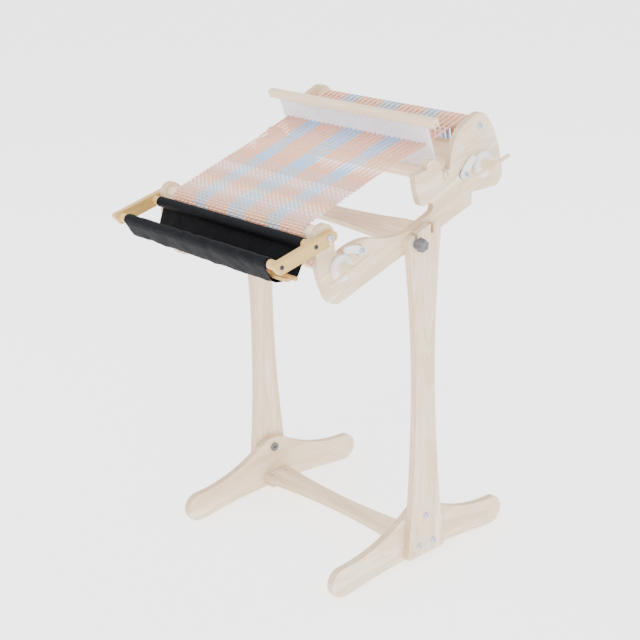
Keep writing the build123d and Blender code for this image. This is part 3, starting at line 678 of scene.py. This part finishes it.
class LOOM_OT_bolts(bpy.types.Operator):
    """Button headed bolts and screws"""
    bl_idname = "loom.bolts"
    bl_label = "Bolts and screws"

    def execute(self, context):
        zinc = finish_of("zinc", metal_finish, tuple(colours().steel))
        dark = finish_of("dark_screws", metal_finish, tuple(colours().dark_steel))
        for node in ("upright_bolts", "back_beam_bolts", "hanging_bolts", "pawl_bolts"):
            bolts(node, zinc, 0.0036, 0.0031, 0.0021)
        bolts("arm_screws", dark, 0.0022, 0.002, 0.0013)
        bolts("stretcher_screws", zinc, 0.0016, 0.002, 0.0013, axis=2)
        for hand in ("left", "right"):
            eased_copy(hand + "_knob_bolt", zinc, sizes().small_edge)
        return {"FINISHED"}


KNOB_RINGS = np.array([  # share of the height, then plain radius and height of the lobes in metres
    (0.0, 0.0030, 0.0), (0.0, 0.0088, 0.0), (0.17, 0.0090, 0.0), (0.20, 0.0100, 0.0),
    (0.24, 0.0112, 0.0010), (0.28, 0.0116, 0.0017), (0.50, 0.0112, 0.0017), (0.78, 0.0107, 0.0016),
    (0.90, 0.0102, 0.0014), (0.96, 0.0092, 0.0008), (0.995, 0.0076, 0.0002), (1.0, 0.0062, 0.0),
    (0.985, 0.0052, 0.0), (0.97, 0.0030, 0.0)])


class LOOM_OT_knobs(bpy.types.Operator):
    """Six lobed tilt knobs, rounded over at the base and the top, with a small dished cap"""
    bl_idname = "loom.knobs"
    bl_label = "Tilt knobs"

    def execute(self, context):
        # radius at angle t is the plain radius plus the lobe height times a squared off cos(6 t)
        share, plain, lobe_height = KNOB_RINGS.T
        segments = 72
        lobe = np.cos(6 * 2 * pi * np.arange(segments) / segments)
        lobe = np.sign(lobe) * np.abs(lobe) ** 0.7
        radius = plain[:, None] + lobe_height[:, None] * lobe
        for hand, way in (("left", -1.0), ("right", 1.0)):
            low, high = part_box(hand + "_knob")
            spot = np.array([low.x if way > 0 else high.x, *PIVOT[1:]])
            points, quads, tris = turned_arrays(spot, way * ACROSS, ALONG, radius,
                                                share * (high.x - low.x))
            made = make_piece(hand + "_knob_piece", points, quads, [grey_plastic()],
                              hand + "_tilt_knob", (hand + "_knob",), tris)
            made.data.set_sharp_from_angle(angle=radians(50))
        return {"FINISHED"}


# ================= heddle =================
class LOOM_OT_reed(bpy.types.Operator):
    """Moulded reed: slats with an eye in each, between an upper and a lower band"""
    bl_idname = "loom.reed"
    bl_label = "Reed"

    def execute(self, context):
        plastic = finish_of("reed_moulded", moulded_finish, tuple(colours().reed), 0.4)
        low_v, high_v = (in_loom(centre(n))[1] for n in ("low_rail", "high_rail"))
        # half of a rail, how deep the reed sits in it, and the band that shows outside it
        rail_half, sunk, band = 0.00825, 0.009, 0.003
        low_face, high_face = low_v + rail_half, high_v - rail_half
        bottom, top = low_face - sunk, high_face + sunk
        open_low, open_high = low_face + band, high_face - band
        half, slats_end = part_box("reed")[1].x, WARP_HALF + 0.0022
        parts = [slat_arrays(x, sizes().reed_slat / 2, open_low, open_high)
                 for x in slat_places()]
        for x0, x1, v0, v1 in ((-half, half, bottom, open_low), (-half, half, open_high, top),
                               (-half, -slats_end, open_low, open_high),
                               (slats_end, half, open_low, open_high)):
            parts.append(bar_arrays(x0, x1, v0, v1, depth=0.003))
        points, quads, tris = joined(parts)
        made = make_piece("reed_piece", points, quads, [plastic], "heddle",
                          ("reed",), tris, smooth=False)
        ease = made.modifiers.new("eased edges", "BEVEL")
        ease.width, ease.segments, ease.limit_method = 0.0002, 1, "ANGLE"
        ease.angle_limit = radians(50)
        return {"FINISHED"}


def slat_places():
    count = 2 * GROUPS
    return (np.arange(count) + 0.5 - count / 2) * (2 * WARP_HALF / count)


def slat_arrays(x, half, low, high):
    """One slat: an outer outline that widens at the eye and an inner oval, point for point by angle,
    joined by quads in front, behind, outside and inside."""
    turn = 2 * pi * (np.arange(16) + 0.5) / 16
    eye_x, eye_v, ring_v, neck_v, depth = 0.0009, 0.0027, 0.0035, 0.006, 0.0009
    inner = np.stack([eye_x * np.cos(turn), eye_v * np.sin(turn)], -1)
    reach = np.array([ring_v, neck_v, high - WARP_V, high - WARP_V])
    wide = np.array([half * 1.3, half * 1.15, half, half * 0.25])
    down = np.array([ring_v, neck_v, WARP_V - low, WARP_V - low])
    upper = np.concatenate([np.stack([wide, reach], -1), np.stack([-wide, reach], -1)[::-1]])
    lower = np.concatenate([np.stack([-wide, -down], -1), np.stack([wide, -down], -1)[::-1]])
    outer = np.concatenate([upper, lower])
    points = np.concatenate([
        on_loom(x + outline[:, 0], REED_U + side * depth, WARP_V + outline[:, 1])
        for outline, side in ((outer, 1), (inner, 1), (inner, -1), (outer, -1))])
    quads = grid_quads(4, 16, wrap_rows=True, wrap_columns=True)[:, ::-1]
    return points, quads, np.zeros((0, 3), int)


def bar_arrays(x0, x1, v0, v1, depth):
    """Plain band of the reed, as a closed box with six faces."""
    spots = np.array([(x, s, v) for x in (x0, x1) for s in (-0.5, 0.5) for v in (v0, v1)])
    points = on_loom(spots[:, 0], REED_U + spots[:, 1] * depth, spots[:, 2])
    quads = np.array([(0, 1, 3, 2), (4, 6, 7, 5), (0, 4, 5, 1), (2, 3, 7, 6), (0, 2, 6, 4),
                      (1, 5, 7, 3)])
    return points, quads, np.zeros((0, 3), int)


# ================= warp and cloth =================
def outer_touch(beam, beam_r, roller, roll_r, way):
    """Angle that a sheet turns round a beam before its straight run touches a roll, and that run's
    length: the run is the tangent of both circles on the way side."""
    du, dv = roller[0] - beam[0], roller[1] - beam[1]
    span = (du * du + dv * dv) ** 0.5
    lean = (beam_r - roll_r) / span
    hold = (1 - lean * lean) ** 0.5
    nu = du / span * lean - way * dv / span * hold
    nv = dv / span * lean + way * du / span * hold
    return atan2(way * nu, nv), span * hold


def wrapped(s, h, start_u, beam, way, turn):
    """(u, v) of a sheet at length s: flat from start_u to over the beam, then round it through the angle
    turn, then straight on; h is the height off the beam's surface."""
    flat = way * (beam[0] - start_u)
    angle = np.clip((s - flat) / BEAM_R, 0, turn)
    after = np.maximum(s - flat - BEAM_R * turn, 0)
    u = (beam[0] + way * (np.minimum(s, flat) - flat) + way * (BEAM_R + h) * np.sin(angle)
         + way * after * np.cos(angle))
    v = beam[1] + (BEAM_R + h) * np.cos(angle) - after * np.sin(angle)
    return u, v


def bunch_colours():
    """0 for coral and 1 for blue, for each bunch of ends from left to right."""
    return np.repeat(np.arange(len(STRIPES)) % 2, STRIPES)


PER_BUNCH = 8             # warp ends in a bunch, half of them in its eye and half in its slot
ENDS = PER_BUNCH * GROUPS
ROLL_GAP = 0.0003         # how far off its roll a sheet's straight run ends
CLOTH_TURN, CLOTH_RUN = outer_touch(FRONT_BEAM, BEAM_R, CLOTH_ROLLER, CLOTH_ROLL_R + ROLL_GAP, -1)
WARP_TURN, WARP_RUN = outer_touch(BACK_BEAM, BEAM_R, WARP_ROLLER, WARP_ROLL_R + ROLL_GAP, 1)
CLOTH_FLAT = FELL_U - FRONT_BEAM[0]
CLOTH_LENGTH = CLOTH_FLAT + BEAM_R * CLOTH_TURN + CLOTH_RUN
CLOTH_MID = 0.00185       # middle of the cloth above the beam's surface


def end_places(rng):
    """Where each warp end lies at the cloth, at the reed and over the back beam: spread evenly at the
    cloth, drawn into one eye and one slot of the reed in each bunch, and bunched over the beam."""
    number = np.arange(ENDS)
    bunch, place = number // PER_BUNCH, number % PER_BUNCH
    middle = (bunch + 0.5 - GROUPS / 2) * GROUP_PITCH
    at_cloth = (number + 0.5) / ENDS * 2 * CLOTH_HALF - CLOTH_HALF
    column = PER_BUNCH // 2
    in_eye, rank = place < column, place % column
    eye_pitch, slot_pitch, slot_sway = 0.00112, 0.0013, 0.0003
    reed_x = np.where(in_eye, middle - GROUP_PITCH / 4, middle + slot_sway * (rank % 2 - 0.5))
    reed_v = (rank - (column - 1) / 2) * np.where(in_eye, eye_pitch, slot_pitch)
    beam_pitch, beam_low, beam_rise = 0.00062, 0.0008, 0.00115
    beam_x = middle + (place - (PER_BUNCH - 1) / 2) * beam_pitch
    beam_h = beam_low + beam_rise * (place % 2)
    jitter = rng.uniform(-1, 1, (3, ENDS)) * np.array([[0.0002], [0.0003], [0.0002]])
    return bunch, in_eye, at_cloth + jitter[0], reed_x, reed_v, beam_x + jitter[1], beam_h, jitter[2]


class LOOM_OT_warp(bpy.types.Operator):
    """Warp ends from the cloth through the reed and over the back beam to the warp roll"""
    bl_idname = "loom.warp"
    bl_label = "Warp"

    def execute(self, context):
        rng = np.random.default_rng(7)
        bunch, in_eye, cloth_x, reed_x, reed_v, beam_x, beam_h, lift = end_places(rng)
        shade = bunch_colours()[bunch]
        radius = sizes().end_r
        top = WARP_V + CLOTH_MID
        front = on_loom(np.stack([cloth_x, reed_x], -1),
                        np.array([FELL_U - 0.001, REED_U])[None],
                        np.stack([top + lift, WARP_V + reed_v], -1))
        flat = BACK_BEAM[0] - REED_U
        s = np.concatenate([[0.0], flat * np.array([0.5, 0.93]),
                            flat + BEAM_R * WARP_TURN * np.linspace(0, 1, 9),
                            flat + BEAM_R * WARP_TURN + WARP_RUN * np.array([0.5, 1.0])])
        share = np.clip(s / flat, 0, 1)[None]
        after = np.clip((s - flat - BEAM_R * 0.4) / (BEAM_R * WARP_TURN + WARP_RUN), 0, 1)[None]
        even = (np.arange(ENDS) + 0.5) / ENDS * 2 * WARP_HALF - WARP_HALF
        x = reed_x[:, None] + (beam_x - reed_x)[:, None] * share
        x = x + (even - beam_x)[:, None] * after
        u, v = wrapped(s[None], beam_h[:, None], REED_U, BACK_BEAM, 1, WARP_TURN)
        back = on_loom(x, u, v + (reed_v - beam_h)[:, None] * (1 - share))
        for side, lines, still in (("front", front, FELL_U), ("back", back, BACK_BEAM[0])):
            for kind, chosen in (("eye", in_eye), ("slot", ~in_eye)):
                made = tube_piece(f"warp_{side}_{kind}_ends", lines[chosen], radius, radius, 6,
                                  ACROSS, yarns(*WARP_YARNS), None if kind == "eye" else "loom",
                                  (f"warp_{side}",) if kind == "slot" else (),
                                  shade[chosen])
                if kind == "eye":
                    on_loom(0.0, still, WARP_V)
                    on_loom(0.0, REED_U, WARP_V)
                    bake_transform(made)
        return {"FINISHED"}


BANDS = (  # picks in each weft band from the fell, the yarn, and how thick the odd picks are
    (6, "stone", 0.6), (5, "white", 0.6), (2, "lilac", 0.6), (4, "stone", 0.6), (2, "peach", 0.8),
    (2, "cream", 1.0), (4, "white", 0.6), (2, "lilac", 0.6), (4, "stone", 0.6), (9, "peach", 1.0),
    (6, "cream", 1.0), (12, "peach", 1.0))
WARP_YARNS = ("coral", "blue")
WEFT_YARNS = ("stone", "white", "lilac", "peach", "cream")


def pick_table(count):
    """Yarn number and thickness of each pick."""
    kinds = np.concatenate([np.full(n, WEFT_YARNS.index(k)) for n, k, _ in BANDS])[:count]
    thin = np.concatenate([np.full(n, t) for n, _, t in BANDS])[:count]
    return kinds, np.where(np.arange(count) % 2 == 1, thin, 1.0)


class LOOM_OT_cloth(bpy.types.Operator):
    """Woven cloth: weft picks over and under pairs of warp ends, from the fell to the cloth roll"""
    bl_idname = "loom.cloth"
    bl_label = "Cloth"

    def execute(self, context):
        rng = np.random.default_rng(11)
        pitch, pairs = sizes().pick_pitch, sizes().pairs
        first_pick, last_gap, overhang = 0.0025, 0.003, 0.0012
        count = int((CLOTH_LENGTH - last_gap) / pitch)
        pair_pitch = 2 * CLOTH_HALF / pairs
        kinds, thick = pick_table(count)
        along = first_pick + pitch * np.arange(count)
        # weft: height is the middle less crimp * (-1)^pick * sin(pi * x / pair pitch)
        x = np.linspace(-CLOTH_HALF - overhang, CLOTH_HALF + overhang, pairs * 4 + 5)[None]
        sway = 0.0003 * np.sin(x * 35 + rng.uniform(0, 6.28, (count, 1)))
        sign = np.where(np.arange(count) % 2 == 0, 1.0, -1.0)[:, None]
        over = -sign * np.sin(pi * (x + CLOTH_HALF) / pair_pitch)
        height = CLOTH_MID + sizes().crimp * over
        u, v = wrapped(along[:, None] + sway, height, FELL_U, FRONT_BEAM, -1, CLOTH_TURN)
        lines = on_loom(x, u, v)
        wide = sizes().pick_half * thick[:, None] * (0.7 + 0.38 * np.clip(over, 0, 1))
        picks = tube_piece("cloth_picks", lines, wide, wide * 0.5, 6, ALONG * 0.6 - SQUARE * 0.01,
                           yarns(*WEFT_YARNS), "loom", ("cloth",), kinds)
        # warp in the cloth: two flat strands to a pair, at (-1)^(pair + pick) * rise
        rise = 0.00075
        pair = np.repeat(np.arange(pairs), 2)
        strand = np.tile([-1.0, 1.0], pairs)
        strand_x = (pair + 0.5) * pair_pitch - CLOTH_HALF + strand * pair_pitch * 0.21
        s = np.arange(0, CLOTH_LENGTH, pitch / 2)[None]
        wave = np.cos(pi * (s - along[0]) / pitch)
        high = CLOTH_MID + rise * np.where(pair % 2 == 0, 1.0, -1.0)[:, None] * wave
        u, v = wrapped(s, high, FELL_U, FRONT_BEAM, -1, CLOTH_TURN)
        lines = on_loom(strand_x[:, None] + 0 * s, u, v)
        shade = bunch_colours()[(np.arange(2 * pairs) * GROUPS) // (2 * pairs)]
        ends = tube_piece("cloth_ends", lines, 0.00098, 0.0006, 6, ACROSS,
                          yarns(*WARP_YARNS), "loom", (), shade)
        # selvedge: the weft turns round the outer pair from one pick to the next
        turn = np.linspace(0, pi, 7)[None]
        pick = np.arange(count - 1)
        edge = np.where(pick % 2 == 0, 1.0, -1.0)[:, None]
        u, v = wrapped((along[:-1, None] + pitch / 2) - np.cos(turn) * pitch / 2, CLOTH_MID,
                       FELL_U, FRONT_BEAM, -1, CLOTH_TURN)
        loops = on_loom(edge * (CLOTH_HALF + 0.0008 + 0.0014 * np.sin(turn)), u, v)
        selvedge = tube_piece("cloth_selvedge", loops, 0.0009, 0.0008, 6, SQUARE,
                              yarns(*WEFT_YARNS), "loom", (), kinds[:-1])
        return {"FINISHED"}


CORE_R = 0.01105          # where a roll's end faces meet the roller
CAP_RINGS = 5             # rings of each end face
ROLL_BANDS = ("peach", "stone", "white", "cream", "peach", "lilac", "stone")


def roll_arrays(middle, radius, half, rows, columns, relief):
    """Wound roll: radius plus relief(x, angle) round the roller, with end faces of uneven rings.
    Rows run across the loom and columns round the roll."""
    x = np.linspace(-half, half, rows)
    angle = 2 * pi * np.arange(columns) / columns
    grid_x, grid_a = np.meshgrid(x, angle, indexing="ij")
    r = radius + relief(grid_x, grid_a)
    shell = on_loom(grid_x, middle[0] + r * np.cos(grid_a), middle[1] + r * np.sin(grid_a))
    rings = [shell]
    for k in range(1, CAP_RINGS + 1):
        ring_r = radius + (CORE_R - radius) * k / CAP_RINGS
        dip = 0.0004 * (k % 2)
        left, right = (on_loom(sign * (half - dip), middle[0] + ring_r * np.cos(angle),
                               middle[1] + ring_r * np.sin(angle))[None] for sign in (-1, 1))
        rings = [left, *rings, right]
    points = np.concatenate(rings)
    quads = grid_quads(len(points), columns, wrap_rows=True, wrap_columns=True)
    return points.reshape(-1, 3), quads, len(points)


class LOOM_OT_rolls(bpy.types.Operator):
    """Cloth wound on the front roller and warp wound on the back one"""
    bl_idname = "loom.rolls"
    bl_label = "Wound rolls"

    def execute(self, context):
        pair_pitch = 2 * CLOTH_HALF / sizes().pairs
        around = 21

        def weave(x, a):
            return 0.0003 * np.sin(pi * (x + CLOTH_HALF) / pair_pitch) * np.cos(around * a) - 0.0003

        rows, columns = sizes().pairs * 4 + 1, around * 6
        points, quads, all_rows = roll_arrays(CLOTH_ROLLER, CLOTH_ROLL_R, CLOTH_HALF, rows, columns,
                                              weave)
        row = np.arange(all_rows)[:, None] - CAP_RINGS
        column = np.arange(columns)[None]
        pair = np.clip(row // 4, 0, sizes().pairs - 1)
        cell = ((column + 1.5) // 3).astype(int)
        on_top = (pair + cell) % 2 == 0
        shade = bunch_colours()[np.clip(pair // 2, 0, GROUPS - 1)]
        bands = np.array([WEFT_YARNS.index(key) for key in ROLL_BANDS]) + len(WARP_YARNS)
        band = bands[(cell // 6) % len(bands)]
        which = np.where(on_top, band, shade + 0 * column)
        made = make_piece("cloth_roll_piece", points, quads, yarns(*WARP_YARNS, *WEFT_YARNS),
                          "cloth_beam", ("cloth_roll",), which=which.ravel())
        made.data.set_sharp_from_angle(angle=radians(60))

        def threads(x, a):
            fine = (x + WARP_HALF) / (GROUP_PITCH / PER_BUNCH)
            return 0.0004 * np.abs(np.sin(pi * fine)) - 0.0004

        end_rows, columns = 3, 48
        rows = ENDS * end_rows + 1
        points, quads, all_rows = roll_arrays(WARP_ROLLER, WARP_ROLL_R, WARP_HALF, rows, columns,
                                              threads)
        row = np.arange(all_rows)[:, None] - CAP_RINGS
        bunch = np.clip(row // (end_rows * PER_BUNCH), 0, GROUPS - 1)
        which = bunch_colours()[bunch] + np.zeros((1, columns), int)
        which = np.where((row < 0) | (row >= rows - 1), len(WARP_YARNS), which)
        paper = finish_of("paper", moulded_finish, tuple(colours().paper), 0.8)
        made = make_piece("warp_roll_piece", points, quads, [*yarns(*WARP_YARNS), paper],
                          "warp_beam", ("warp_roll",), which=which.ravel())
        made.data.set_sharp_from_angle(angle=radians(60))
        return {"FINISHED"}


# ================= pouch =================
SLEEVE_RUN = 0.052        # canvas round a dowel, up to where it hangs free
SEAM_AT = 0.0535          # seam that closes a sleeve, from the canvas's end
STITCH_AT = 0.055         # row of stitches beside it


def arm_place(node):
    """(a, b) of a CAD node's middle, along and square to the pouch's arm from the hanging bolt."""
    away = centre(node) - HANG
    return np.array([away @ ARM_ALONG, away @ ARM_UP])


def hull_line(circles, first, last, steps=14):
    """Line round the outside of circles (centre, radius) in turn: an arc of each from the direction where
    it is met to the one where it is left, which are square to the common tangents."""
    leave = []
    for (c1, r1), (c2, r2) in zip(circles[:-1], circles[1:]):
        d = c2 - c1
        leave.append(atan2(d[1], d[0]) + acos((r1 - r2) / np.linalg.norm(d)))
    meet = [first, *leave]
    part = [*leave, last]
    line = []
    for (c, r), start, end in zip(circles, meet, part):
        while end > start:
            end -= 2 * pi
        angle = np.linspace(start, end, steps)
        line.append(c + r * np.stack([np.cos(angle), np.sin(angle)], -1))
    return np.concatenate(line)


def spaced(line, count):
    """The line again with count points at even steps along it, and their distances."""
    run = np.concatenate([[0.0], np.cumsum(np.linalg.norm(np.diff(line, axis=0), axis=-1))])
    at = np.linspace(0, run[-1], count)
    return np.stack([np.interp(at, run, line[:, k]) for k in range(2)], -1), at


class LOOM_OT_pouch(bpy.types.Operator):
    """Arms and dowels of oiled maple, and the canvas that hangs between the dowels"""
    bl_idname = "loom.pouch"
    bl_label = "Pouch"

    def execute(self, context):
        along = finish_of("oiled_along", oiled_finish, 1)
        across = finish_of("oiled_across", oiled_finish, 0)
        for hand in ("left", "right"):
            eased_copy(hand + "_arm", along, sizes().edge * 1.7)
        for node in ("back_pouch_dowel", "front_pouch_dowel"):
            eased_copy(node, across, sizes().edge)
        self.canvas()
        return {"FINISHED"}

    def canvas(self):
        """Canvas round the back dowel, down, along the floor, up and round the front dowel. The line of
        its section is pushed along its own normal by soft folds, which fade out on the dowels."""
        back, front = arm_place("back_pouch_dowel"), arm_place("front_pouch_dowel")
        dowel_r, slack, fold_r = 0.0085, 0.0009, 0.013
        sleeve = dowel_r + slack
        floor_back = back[0] - 0.0328, -0.0415
        count = 120
        ends = []
        # the front fold of the left end lies a little higher than that of the right end
        for floor_front in ((front[0] + 0.0105, -0.0245), (front[0] + 0.012, -0.029)):
            circles = [(back, sleeve), (np.array(floor_back), fold_r), (np.array(floor_front), fold_r),
                       (front, sleeve)]
            line, at = spaced(hull_line(circles, radians(262), radians(-430)), count)
            ends.append(line)
        total = at[-1]
        t = np.clip((at - SLEEVE_RUN) / (total - 2 * SLEEVE_RUN), 0, 1)
        loose = np.sin(pi * t) ** 0.6 * (t > 0) * (t < 1)
        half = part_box("pouch_fabric")[1].x
        across = 260
        share = np.linspace(-1, 1, across)[:, None]
        line = ends[0] + (ends[1] - ends[0]) * (share[..., None] + 1) / 2
        forward = unit(np.gradient(line, axis=1))
        normal = np.stack([-forward[..., 1], forward[..., 0]], -1)
        inset = 0.006 * np.sin(pi * t)[None] ** 1.5
        x = share * (half - inset)
        rng = np.random.default_rng(3)
        folds = np.zeros((across, count))
        for wave, slope, strength in zip(rng.uniform(25, 120, 18), rng.uniform(-1.6, 1.6, 18),
                                         rng.uniform(0.4, 1.0, 18)):
            run = wave * (x + slope * at[None]) + rng.uniform(0, 6.28)
            where = np.sin(18 * x + rng.uniform(0, 6.28)) * np.sin(16 * at[None]
                                                                   + rng.uniform(0, 6.28))
            folds += (1 - 2 * np.abs(np.sin(run)) ** 0.8) * where * strength / (1 + 0.01 * wave)
        folds = folds / np.abs(folds).max() * sizes().fold * loose[None]
        sag = 0.0012 * np.cos(pi * share / 2) * loose[None]
        seam_depth, seam_half = 0.0005, 0.0009
        seams = -seam_depth * sum(np.exp(-((at - spot) / seam_half) ** 2)
                                  for spot in (SEAM_AT, total - SEAM_AT))
        push = folds + sag + seams[None]
        a = line[..., 0] + push * normal[..., 0]
        b = line[..., 1] + push * normal[..., 1]
        points = on_arm(x, a, b)
        quads = grid_quads(across, count)
        u = x - x.min()
        v = np.broadcast_to(at[None], u.shape)
        uv = np.stack([u, v], -1).reshape(-1, 2)[quads.ravel()]
        canvas = finish_of("black_canvas", canvas_finish, tuple(colours().canvas))
        made = make_piece("pouch_canvas", points.reshape(-1, 3), quads, [canvas], "pouch",
                          ("pouch_fabric",), uv=uv)
        wall = made.modifiers.new("canvas wall", "SOLIDIFY")
        wall.thickness = sizes().cloth_wall
        wall.offset = 0.0
        stitches = self.stitches(points, at, total)

    def stitches(self, points, at, total):
        """Rows of short stitches along both sleeves: each is a tube from one column of the canvas to
        part of the way to the next, lifted off both faces by half the wall and a thread's radius."""
        gap = sizes().cloth_wall / 2 + 0.0002
        rows = []
        for spot in (STITCH_AT, total - STITCH_AT):
            row = int(np.argmin(np.abs(at - spot)))
            line = points[:, row]
            out = unit(np.cross(ACROSS, points[:, row + 1] - points[:, row - 1]))
            for side in (-gap, gap):
                start, step = line[2:-3] + out[2:-3] * side, line[3:-2] - line[2:-3]
                share = np.array([0.0, 0.35, 0.7, 1.0])[None, :, None] * 0.8
                rows.append((start[:, None] + step[:, None] * share)[::2])
        return tube_piece("pouch_stitches", np.concatenate(rows), 0.00028, 0.00028, 5, ARM_UP,
                          [finish_of("black_canvas", canvas_finish, tuple(colours().canvas))],
                          "pouch")


class LOOM_OT_shuttle(bpy.types.Operator):
    """Stick shuttle with tan yarn wound along it"""
    bl_idname = "loom.shuttle"
    bl_label = "Shuttle"

    def execute(self, context):
        eased_copy("shuttle", finish_of("oiled_across", oiled_finish, 0), sizes().edge)
        low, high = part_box("shuttle")
        a, b = arm_place("shuttle")
        rng = np.random.default_rng(5)
        count, yarn_inset, half_spread, off_board = 22, 0.022, 0.0056, 0.0036
        x = np.linspace(low.x + yarn_inset, high.x - yarn_inset, 14)[None]
        spread = rng.uniform(-1, 1, (count, 1)) * half_spread
        lift = np.where(np.arange(count) % 2 == 0, 1.0, -1.0)[:, None]
        bow = np.sin(pi * (x - x.min()) / (x.max() - x.min()))
        strand_a = a + spread * (0.8 + 0.5 * bow) + 0.0004 * np.sin(x * 60 + spread * 900)
        strand_b = b + lift * (off_board + rng.uniform(0, 0.0008, (count, 1)) * bow)
        lines = on_arm(x + 0 * spread, strand_a, strand_b)
        tube_piece("shuttle_yarn", lines, 0.0007, 0.0007, 6, ARM_ALONG, yarns("tan"), "shuttle")
        return {"FINISHED"}


# ================= stage =================
class LOOM_OT_stage(bpy.types.Operator):
    """Pale floor, soft lights and the camera"""
    bl_idname = "loom.stage"
    bl_label = "Stage"

    def execute(self, context):
        scene = context.scene
        floor_finish, _, _ = new_finish("pale_floor", (0.93, 0.93, 0.93), 0.9,
                                        Emission_Color=(1.0, 1.0, 1.0, 1.0), Emission_Strength=1.6)
        size = 14.0
        corners = np.array([(-size, -size, 0), (size, -size, 0), (size, size, 0), (-size, size, 0)],
                           float)
        floor = make_piece("floor", corners, np.array([[0, 1, 2, 3]]), [floor_finish], None)
        world = bpy.data.worlds.new("soft room")
        world.use_nodes = True
        sky = world.node_tree.nodes["Background"]
        sky.inputs["Color"].default_value = (1.0, 1.0, 1.0, 1.0)
        sky.inputs["Strength"].default_value = 1.7
        scene.world = world
        for name, place, power, width, aim in (
                ("key", (1.6, -2.2, 3.2), 90.0, 2.6, (0, 0, 0.5)),
                ("side", (-2.6, -1.4, 2.2), 40.0, 2.4, (0, 0, 0.5)),
                ("back", (0.6, 2.8, 2.6), 30.0, 2.2, (0, 0, 0.6))):
            lamp = bpy.data.lights.new(name, "AREA")
            lamp.energy, lamp.size = power, width
            made = bpy.data.objects.new(name, lamp)
            made.location = place
            made.rotation_mode = "QUATERNION"
            made.rotation_quaternion = (Vector(aim) - Vector(place)).to_track_quat("-Z", "Y")
            scene.collection.objects.link(made)
        # the camera turned about the upright, tipped down and rolled, in radians
        turn, tip, roll = 0.84247, 0.34639, -0.02984
        right = Vector((cos(turn), sin(turn), 0))
        ahead = Vector((-sin(turn) * cos(tip), cos(turn) * cos(tip), -sin(tip)))
        up = right.cross(ahead)
        right_rolled = cos(roll) * right + sin(roll) * up
        up_rolled = -sin(roll) * right + cos(roll) * up
        view = bpy.data.cameras.new("camera")
        view.lens, view.sensor_width = 80.95, 36.0
        view.clip_start, view.clip_end = 0.1, 60.0
        camera = bpy.data.objects.new("camera", view)
        axes = Matrix((right_rolled, up_rolled, -ahead)).transposed()
        camera.matrix_world = Matrix.Translation((1.9348, -1.7136, 1.3811)) @ axes.to_4x4()
        scene.collection.objects.link(camera)
        scene.camera = camera
        return {"FINISHED"}


STEPS = (LOOM_OT_stage, LOOM_OT_boards, LOOM_OT_bars, LOOM_OT_ratchets, LOOM_OT_bolts,
         LOOM_OT_knobs, LOOM_OT_reed, LOOM_OT_warp, LOOM_OT_cloth, LOOM_OT_rolls, LOOM_OT_pouch,
         LOOM_OT_shuttle)


class LOOM_PT_panel(bpy.types.Panel):
    """Loom pieces and settings"""
    bl_idname = "LOOM_PT_panel"
    bl_label = "Loom"
    bl_space_type = "VIEW_3D"
    bl_region_type = "UI"
    bl_category = "Loom"

    def draw(self, context):
        for group in (context.scene.loom_sizes, context.scene.loom_colours):
            box = self.layout.box()
            for name in group.__annotations__:
                box.prop(group, name)
        for step in STEPS:
            self.layout.operator(step.bl_idname)


CLASSES = (LoomSizes, LoomColours, *STEPS, LOOM_PT_panel)


def register():
    for made in CLASSES:
        bpy.utils.register_class(made)
    bpy.types.Scene.loom_sizes = bpy.props.PointerProperty(type=LoomSizes)
    bpy.types.Scene.loom_colours = bpy.props.PointerProperty(type=LoomColours)


def unregister():
    del bpy.types.Scene.loom_sizes
    del bpy.types.Scene.loom_colours
    for made in reversed(CLASSES):
        bpy.utils.unregister_class(made)


def main():
    register()
    for step in STEPS:
        group, name = step.bl_idname.split(".")
        getattr(getattr(bpy.ops, group), name)()


if __name__ == "__main__":
    main()
